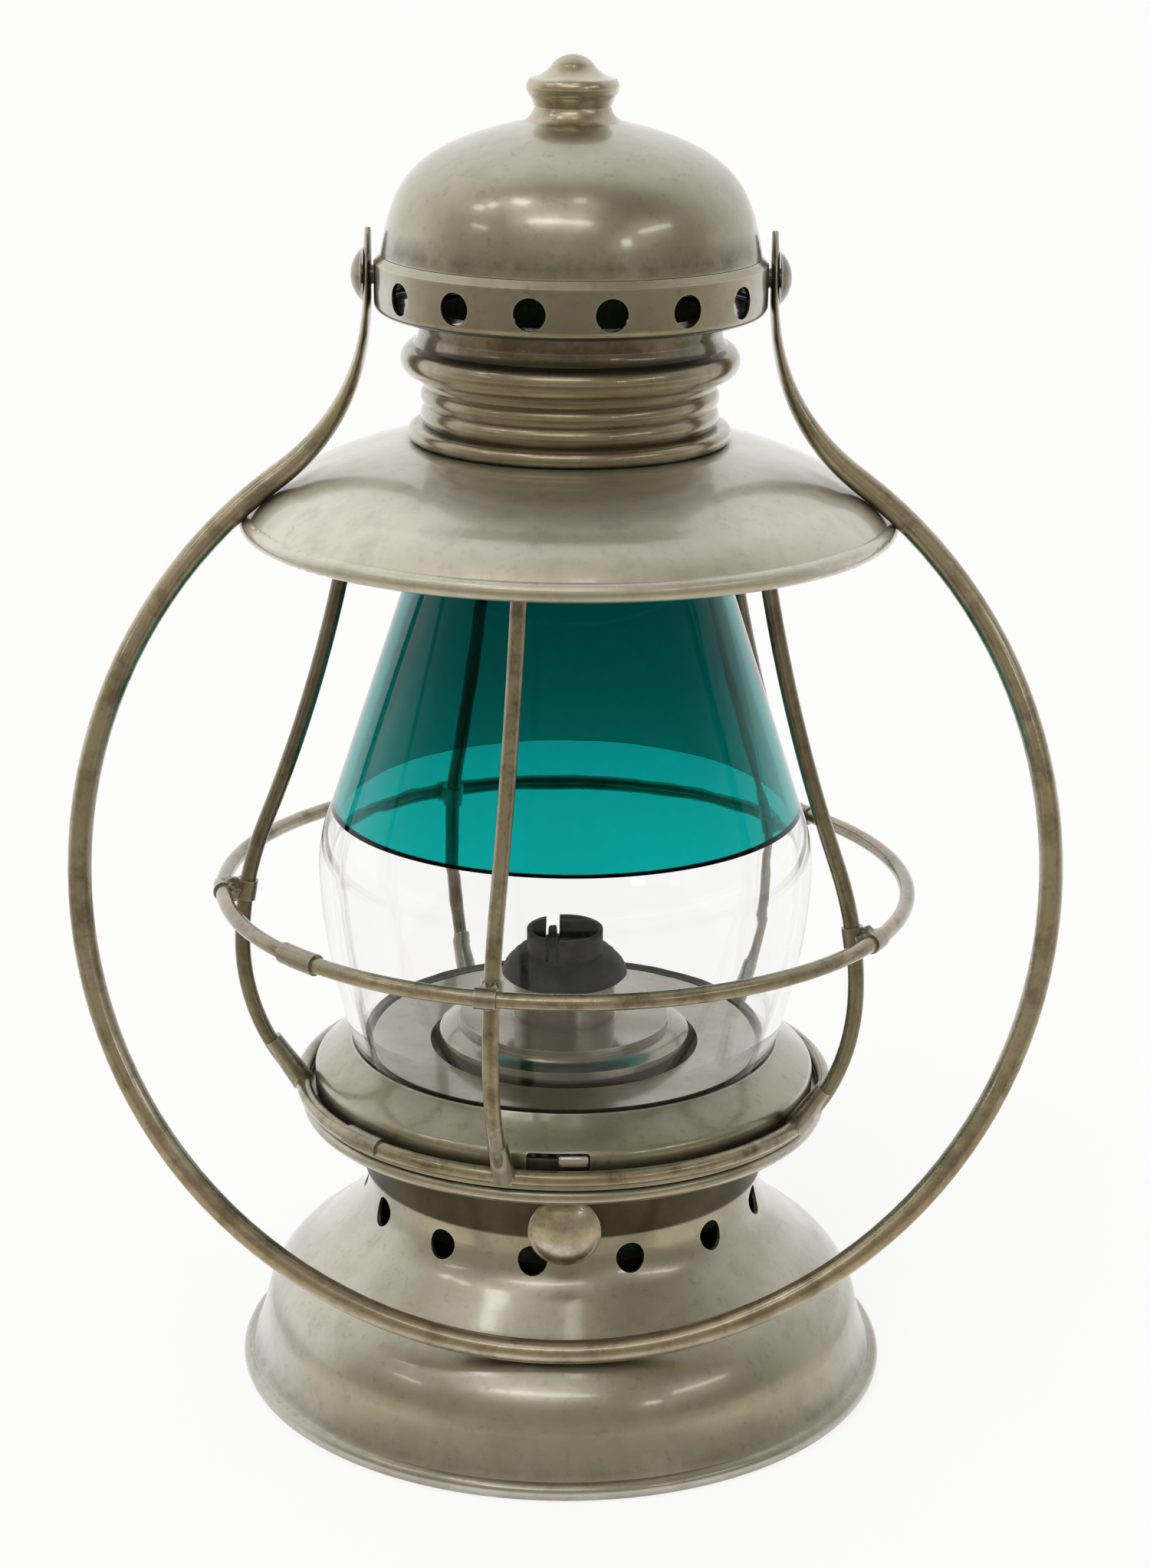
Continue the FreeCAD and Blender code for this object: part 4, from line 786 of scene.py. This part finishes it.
handles = [Vector(point) for point in DOME_CURVE]
outer = [on_sweep(handles, step / DOME_STEPS) for step in range(DOME_STEPS + 1)]
inner = []
for index, point in enumerate(outer):
    along = outer[min(index + 1, DOME_STEPS)] - outer[max(index - 1, 0)]
    inner.append(point + Vector((-along.y, along.x)).normalized() * SHEET)
rings = [ring_of(point.y, lambda turn, radius=point.x: radius) for point in outer + inner[::-1]]
spun_dome = wrap("spun_dome", rings)
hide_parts("smoke_dome")
spun_dome.data.materials.append(hat_nickel)
print("dome faces:", len(spun_dome.data.polygons))

# %% [markdown]
# ## Solder at the crossings
# Where the hoop crosses an upright, the tinsmith ran solder into the joint, and it set in a lump. Such a
# lump could be sculpted by hand. Here it is a fine sphere, stretched across the two wires and pushed in
# and out by noise, so that all five differ and yet come out the same each time. They are one mesh.

# %% Solder lumps
GUARD_TURN = math.radians(-12)
CROSSINGS = 5
CROSSING_RADIUS = 0.0683
CROSSING_HEIGHT = (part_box("guard_hoop")[0].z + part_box("guard_hoop")[1].z) / 2
LUMP_HALF = Vector((0.0021, 0.0031, 0.0025))
LUMP_ROUGH, LUMP_GRAIN = 0.28, 1.6
FINE_SHARE, FINE_GRAIN = 0.4, 2.5
LUMPS_APART = 7.0

lumps = bmesh.new()
for number in range(CROSSINGS):
    turned = Matrix.Rotation(GUARD_TURN + 2 * math.pi * number / CROSSINGS, 4, "Z")
    ball = bmesh.ops.create_icosphere(lumps, subdivisions=4, radius=1.0)["verts"]
    for vertex in ball:
        spot = vertex.co * LUMP_GRAIN + Vector((number * LUMPS_APART, 0.0, 0.0))
        fine = FINE_SHARE * LUMP_ROUGH * noise.noise(spot * FINE_GRAIN)
        swell = 1.0 + LUMP_ROUGH * noise.noise(spot) + fine
        local = Vector([half * part * swell for half, part in zip(LUMP_HALF, vertex.co)])
        vertex.co = turned @ (local + Vector((0.0, -CROSSING_RADIUS, CROSSING_HEIGHT)))
lump_mesh = bpy.data.meshes.new("solder_lumps")
lumps.to_mesh(lump_mesh)
lumps.free()
solder_lumps = put_in("solder_lumps", lump_mesh)
smooth_out(solder_lumps)
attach(solder_lumps, "upper_frame")
lump_mesh.materials.append(solder_grey)
print("solder lumps:", CROSSINGS)

# %% [markdown]
# ## Brass and soot in the burner
# Inside the globe the burner is bare brass below and black above, where the flame has smoked it. Soot
# is nearly a pure diffuse black, so it has no metallic value and its roughness is high. A scatter of
# paler flakes keeps it from looking like a hole in the picture.

# %% Burner finishes
SOOT, FLAKE = (0.006, 0.006, 0.006), (0.04, 0.035, 0.03)
FLAKE_CLOUD = (300.0, 6.0, 0.7)
SOOT_STRENGTH, SOOT_DEPTH = 0.3, 0.0003

burner_brass = worn_nickel("burner_brass", plate=(0.35, 0.32, 0.25), tarnish=(0.2, 0.17, 0.1),
                           share=0.6, dull=0.2)

soot, tree, shader = new_finish("burner_soot")
flakes = cloud(tree, place_of(tree), *FLAKE_CLOUD)
black = mixed(tree, ramp(tree, flakes, (0.4, 0.0), (0.75, 1.0)), SOOT, FLAKE)
tune(tree, shader, Base_Color=black, Roughness=0.55, Specular_IOR_Level=0.2)
roughen(tree, shader, flakes, SOOT_STRENGTH, SOOT_DEPTH)

dress(burner_brass, "burner_mount", "burner_body", "burner_dish", "shaft_bush", "wick_shaft", "wick_spurs",
      "globe_retainer")
dress(soot, "burner_cap", "wick_tube")
print("pieces dressed in all:", len(dressed), "of", len(nodes))

# %% [markdown]
# ## The blown globe
# The globe is one blown glass in two colours: clear below, blue-green above. Glass shows the tiniest
# facet, so its wall is built here as a fine lathe mesh in place of the coarser solids. Blown glass is
# never quite even: slow waves in both skins bend what is seen through it. The two colours are two
# closed shells that meet at a level cut, on the same profile as the solids that they replace.

# %% Glass profile
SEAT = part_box("globe_clear")[0].z
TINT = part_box("globe_tinted")[0].z
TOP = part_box("globe_tinted")[1].z
BELLY = SEAT + 0.0387
FOOT_RADIUS, BELLY_RADIUS, TINT_RADIUS, MOUTH_RADIUS = 0.0435, 0.05065, 0.048, 0.0288
FOOT_SWELL, TINT_SWELL = 0.0015, 0.0007
FOOT_STEPS, BELLY_STEPS, TINT_STEPS = 36, 12, 48


def bowed(low, high, swell, steps):
    """Points along an arc from low to high, each (radius, height), that bulges outward by swell."""
    low, high = Vector(low), Vector(high)
    chord = high - low
    out = Vector((chord.y, -chord.x)).normalized()
    bend = chord.length ** 2 / (8 * swell) + swell / 2
    half = math.asin(chord.length / 2 / bend)
    middle = (low + high) / 2 - out * (bend - swell)
    along = chord.normalized()
    points = []
    for step in range(steps + 1):
        turn = -half + 2 * half * step / steps
        points.append(middle + out * (bend * math.cos(turn)) + along * (bend * math.sin(turn)))
    return points


clear_line = bowed((FOOT_RADIUS, SEAT), (BELLY_RADIUS, BELLY), FOOT_SWELL, FOOT_STEPS)
clear_line += bowed((BELLY_RADIUS, BELLY), (TINT_RADIUS, TINT), TINT_SWELL, BELLY_STEPS)[1:]
cut, mouth = Vector((TINT_RADIUS, TINT)), Vector((MOUTH_RADIUS, TOP))
tinted_line = [cut.lerp(mouth, step / TINT_STEPS) for step in range(TINT_STEPS + 1)]
print("glass heights in mm:", [round(value * 1000, 1) for value in (SEAT, TINT, TOP)])

# %% Glass shells
GLASS = 0.0024
WAVE = 0.00007
WAVES_ROUND, WAVES_UP = 5.5, 130
RIPPLE, RIPPLE_SHARE = 2.7, 0.4
FRONT_SHARE, OUTER_SHARE = 0.15, 0.35
OUTER_START, INNER_START = 9, 0


def wobble(turn, height, start):
    """A slow wave in the glass skin, weaker at the front."""
    spot = Vector((math.cos(turn) * WAVES_ROUND, math.sin(turn) * WAVES_ROUND, height * WAVES_UP + start))
    back = min(max(0.5 + 1.5 * math.sin(turn), 0.0), 1.0)
    calm = FRONT_SHARE + (1 - FRONT_SHARE) * back
    return WAVE * calm * (noise.noise(spot) + RIPPLE_SHARE * noise.noise(spot * RIPPLE))


def blow(name, line):
    """A closed shell of glass from an outer profile line."""
    skins = [(point, 0.0, OUTER_SHARE, OUTER_START) for point in line]
    skins += [(point, GLASS, 1.0, INNER_START) for point in reversed(line)]
    rings = []
    for point, depth, share, start in skins:
        rings.append(ring_of(point.y, lambda turn: point.x - depth + share * wobble(turn, point.y, start)))
    return wrap(name, rings)


clear_globe = blow("clear_globe", clear_line)
tinted_globe = blow("tinted_globe", tinted_line)
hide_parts("globe_clear")
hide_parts("globe_tinted")
print("glass faces:", len(clear_globe.data.polygons) + len(tinted_globe.data.polygons))

# %% [markdown]
# ## Clear and tinted glass
# Glass is a Principled shader with full transmission. Its base colour tints the light that goes
# through, and its specular tint what its surface mirrors, so the pale room lies less heavily on it. The
# colour lies thicker towards the top of the globe, so it deepens there. Where the two colours are fused,
# light crosses without bending: the faces of the cut have an IOR of 1, and only add colour.

# %% Glass finishes
GLASS_IOR, FUSED_IOR = 1.5, 1.0
CLEAR, FUSED = (0.99, 0.99, 0.99), (0.01, 0.26, 0.24)
GREEN_LOW, GREEN_HIGH = (0.003, 0.36, 0.335), (0.001, 0.2, 0.19)
CLEAR_MIRROR, GREEN_MIRROR = (0.5, 0.5, 0.5), (0.06, 0.22, 0.22)
DEEPENS_OVER = 0.035


def glass_finish(name, ior, mirror):
    """Smooth glass; mirror tints and weakens what its surface reflects."""
    material, tree, shader = new_finish(name)
    tune(tree, shader, Transmission_Weight=1.0, IOR=ior, Roughness=0.0, Specular_Tint=mirror)
    return material, tree, shader


def glaze(globe, glass, first):
    """Give a shell its glass, and the ring of faces at the cut the fused seam."""
    globe.data.materials.append(glass)
    globe.data.materials.append(seam)
    for face in globe.data.polygons[first:first + AROUND]:
        face.material_index = 1


seam, tree, shader = glass_finish("fused_seam", FUSED_IOR, WHITE)
tune(tree, shader, Base_Color=FUSED)

clear_glass, tree, shader = glass_finish("clear_glass", GLASS_IOR, CLEAR_MIRROR)
tune(tree, shader, Base_Color=CLEAR)
glaze(clear_globe, clear_glass, (len(clear_line) - 1) * AROUND)

green_glass, tree, shader = glass_finish("green_glass", GLASS_IOR, GREEN_MIRROR)
depth = fade(tree, parts_of(tree, place_of(tree))["Z"], TINT, TINT + DEEPENS_OVER)
tune(tree, shader, Base_Color=mixed(tree, depth, GREEN_LOW, GREEN_HIGH))
glaze(tinted_globe, green_glass, len(tinted_globe.data.polygons) - AROUND)
print("colour deepens over, in mm:", DEEPENS_OVER * 1000)

# %% [markdown]
# ## The wick
# A flat cotton wick stands in its tube and shows a little above the burner's slot. It is a soft woven
# strip, so the plain solid is replaced: a strip with rounded edges, the ribs of its weave across its
# faces, and a ragged burnt top. Its threads are too fine to model, so a wave texture draws them.

# %% Wick strip
wick_low, wick_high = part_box("wick")
WICK_SEGMENTS = 90
WICK_SIDES = 20
THICK_FILL, THICK_ROUND = 0.96, 0.35
WIDE_FILL, WIDE_ROUND = 0.98, 0.8
RIB_DEPTH, RIB_TURN = 0.05, 2.4
FRAY_DEPTH, FRAY_GRAIN = 0.0004, 900
FRAY_START = 3.0


def squared(value, roundness):
    """A circle's sine or cosine, pushed out towards a square; a lower roundness is squarer."""
    return math.copysign(abs(value) ** roundness, value)


strip = bmesh.new()
middle_x = (wick_low.x + wick_high.x) / 2
half_thick = (wick_high.x - wick_low.x) / 2
half_wide = (wick_high.y - wick_low.y) / 2
loops = []
for step in range(WICK_SEGMENTS + 1):
    share = step / WICK_SEGMENTS
    height = wick_low.z + (wick_high.z - wick_low.z) * share
    loop = []
    for side in range(WICK_SIDES):
        turn = 2 * math.pi * side / WICK_SIDES
        thick = half_thick * THICK_FILL * squared(math.cos(turn), THICK_ROUND)
        wide = half_wide * WIDE_FILL * squared(math.sin(turn), WIDE_ROUND)
        weave = 1.0 - RIB_DEPTH * (0.5 + 0.5 * math.sin(step * RIB_TURN + side * math.pi))
        fray = 0.0
        if share == 1.0:
            fray = FRAY_DEPTH * noise.noise(Vector((wide * FRAY_GRAIN, thick * FRAY_GRAIN, FRAY_START)))
        loop.append(strip.verts.new((middle_x + thick * weave, wide, height + min(fray, 0.0))))
    loops.append(loop)
for low, high in zip(loops, loops[1:]):
    for side in range(WICK_SIDES):
        turn_on = (side + 1) % WICK_SIDES
        strip.faces.new((low[side], low[turn_on], high[turn_on], high[side]))
strip.faces.new(reversed(loops[0]))
strip.faces.new(loops[-1])
wick_mesh = bpy.data.meshes.new("cotton_wick")
strip.to_mesh(wick_mesh)
strip.free()
wick = put_in("cotton_wick", wick_mesh)
smooth_out(wick)
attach(wick, "wick_strip")
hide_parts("wick")
print("wick length in mm:", round((wick_high.z - wick_low.z) * 1000, 1))

# %% Cotton finish
COTTON, COTTON_SHADE = (0.5, 0.44, 0.34), (0.32, 0.27, 0.2)
CHAR = (0.01, 0.009, 0.008)
CHAR_STARTS, CHAR_ENDS = 0.006, 0.001
THREAD_SCALE, THREAD_WANDER = 900.0, 1.5
THREAD_STRENGTH, THREAD_DEPTH = 0.5, 0.0002

cotton, tree, shader = new_finish("charred_cotton")
place = place_of(tree)
burnt = fade(tree, parts_of(tree, place)["Z"], wick_high.z - CHAR_STARTS, wick_high.z - CHAR_ENDS)
threads = add(tree, "ShaderNodeTexWave", {"bands_direction": "Y"}, Vector=place, Scale=THREAD_SCALE,
              Distortion=THREAD_WANDER).outputs["Fac"]
woven = mixed(tree, threads, COTTON, COTTON_SHADE)
tune(tree, shader, Base_Color=mixed(tree, burnt, woven, CHAR), Roughness=0.95)
roughen(tree, shader, threads, THREAD_STRENGTH, THREAD_DEPTH)
wick_mesh.materials.append(cotton)
print("charred length in mm:", CHAR_STARTS * 1000)

# %% [markdown]
# ## The size of the dressed lantern
# The box that the dressed lantern fills, as its objects show it.

# %% Sizes and finish
low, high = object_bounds()
print("visual box in mm:", [round(value * 1000, 1) for value in (*low, *high)])
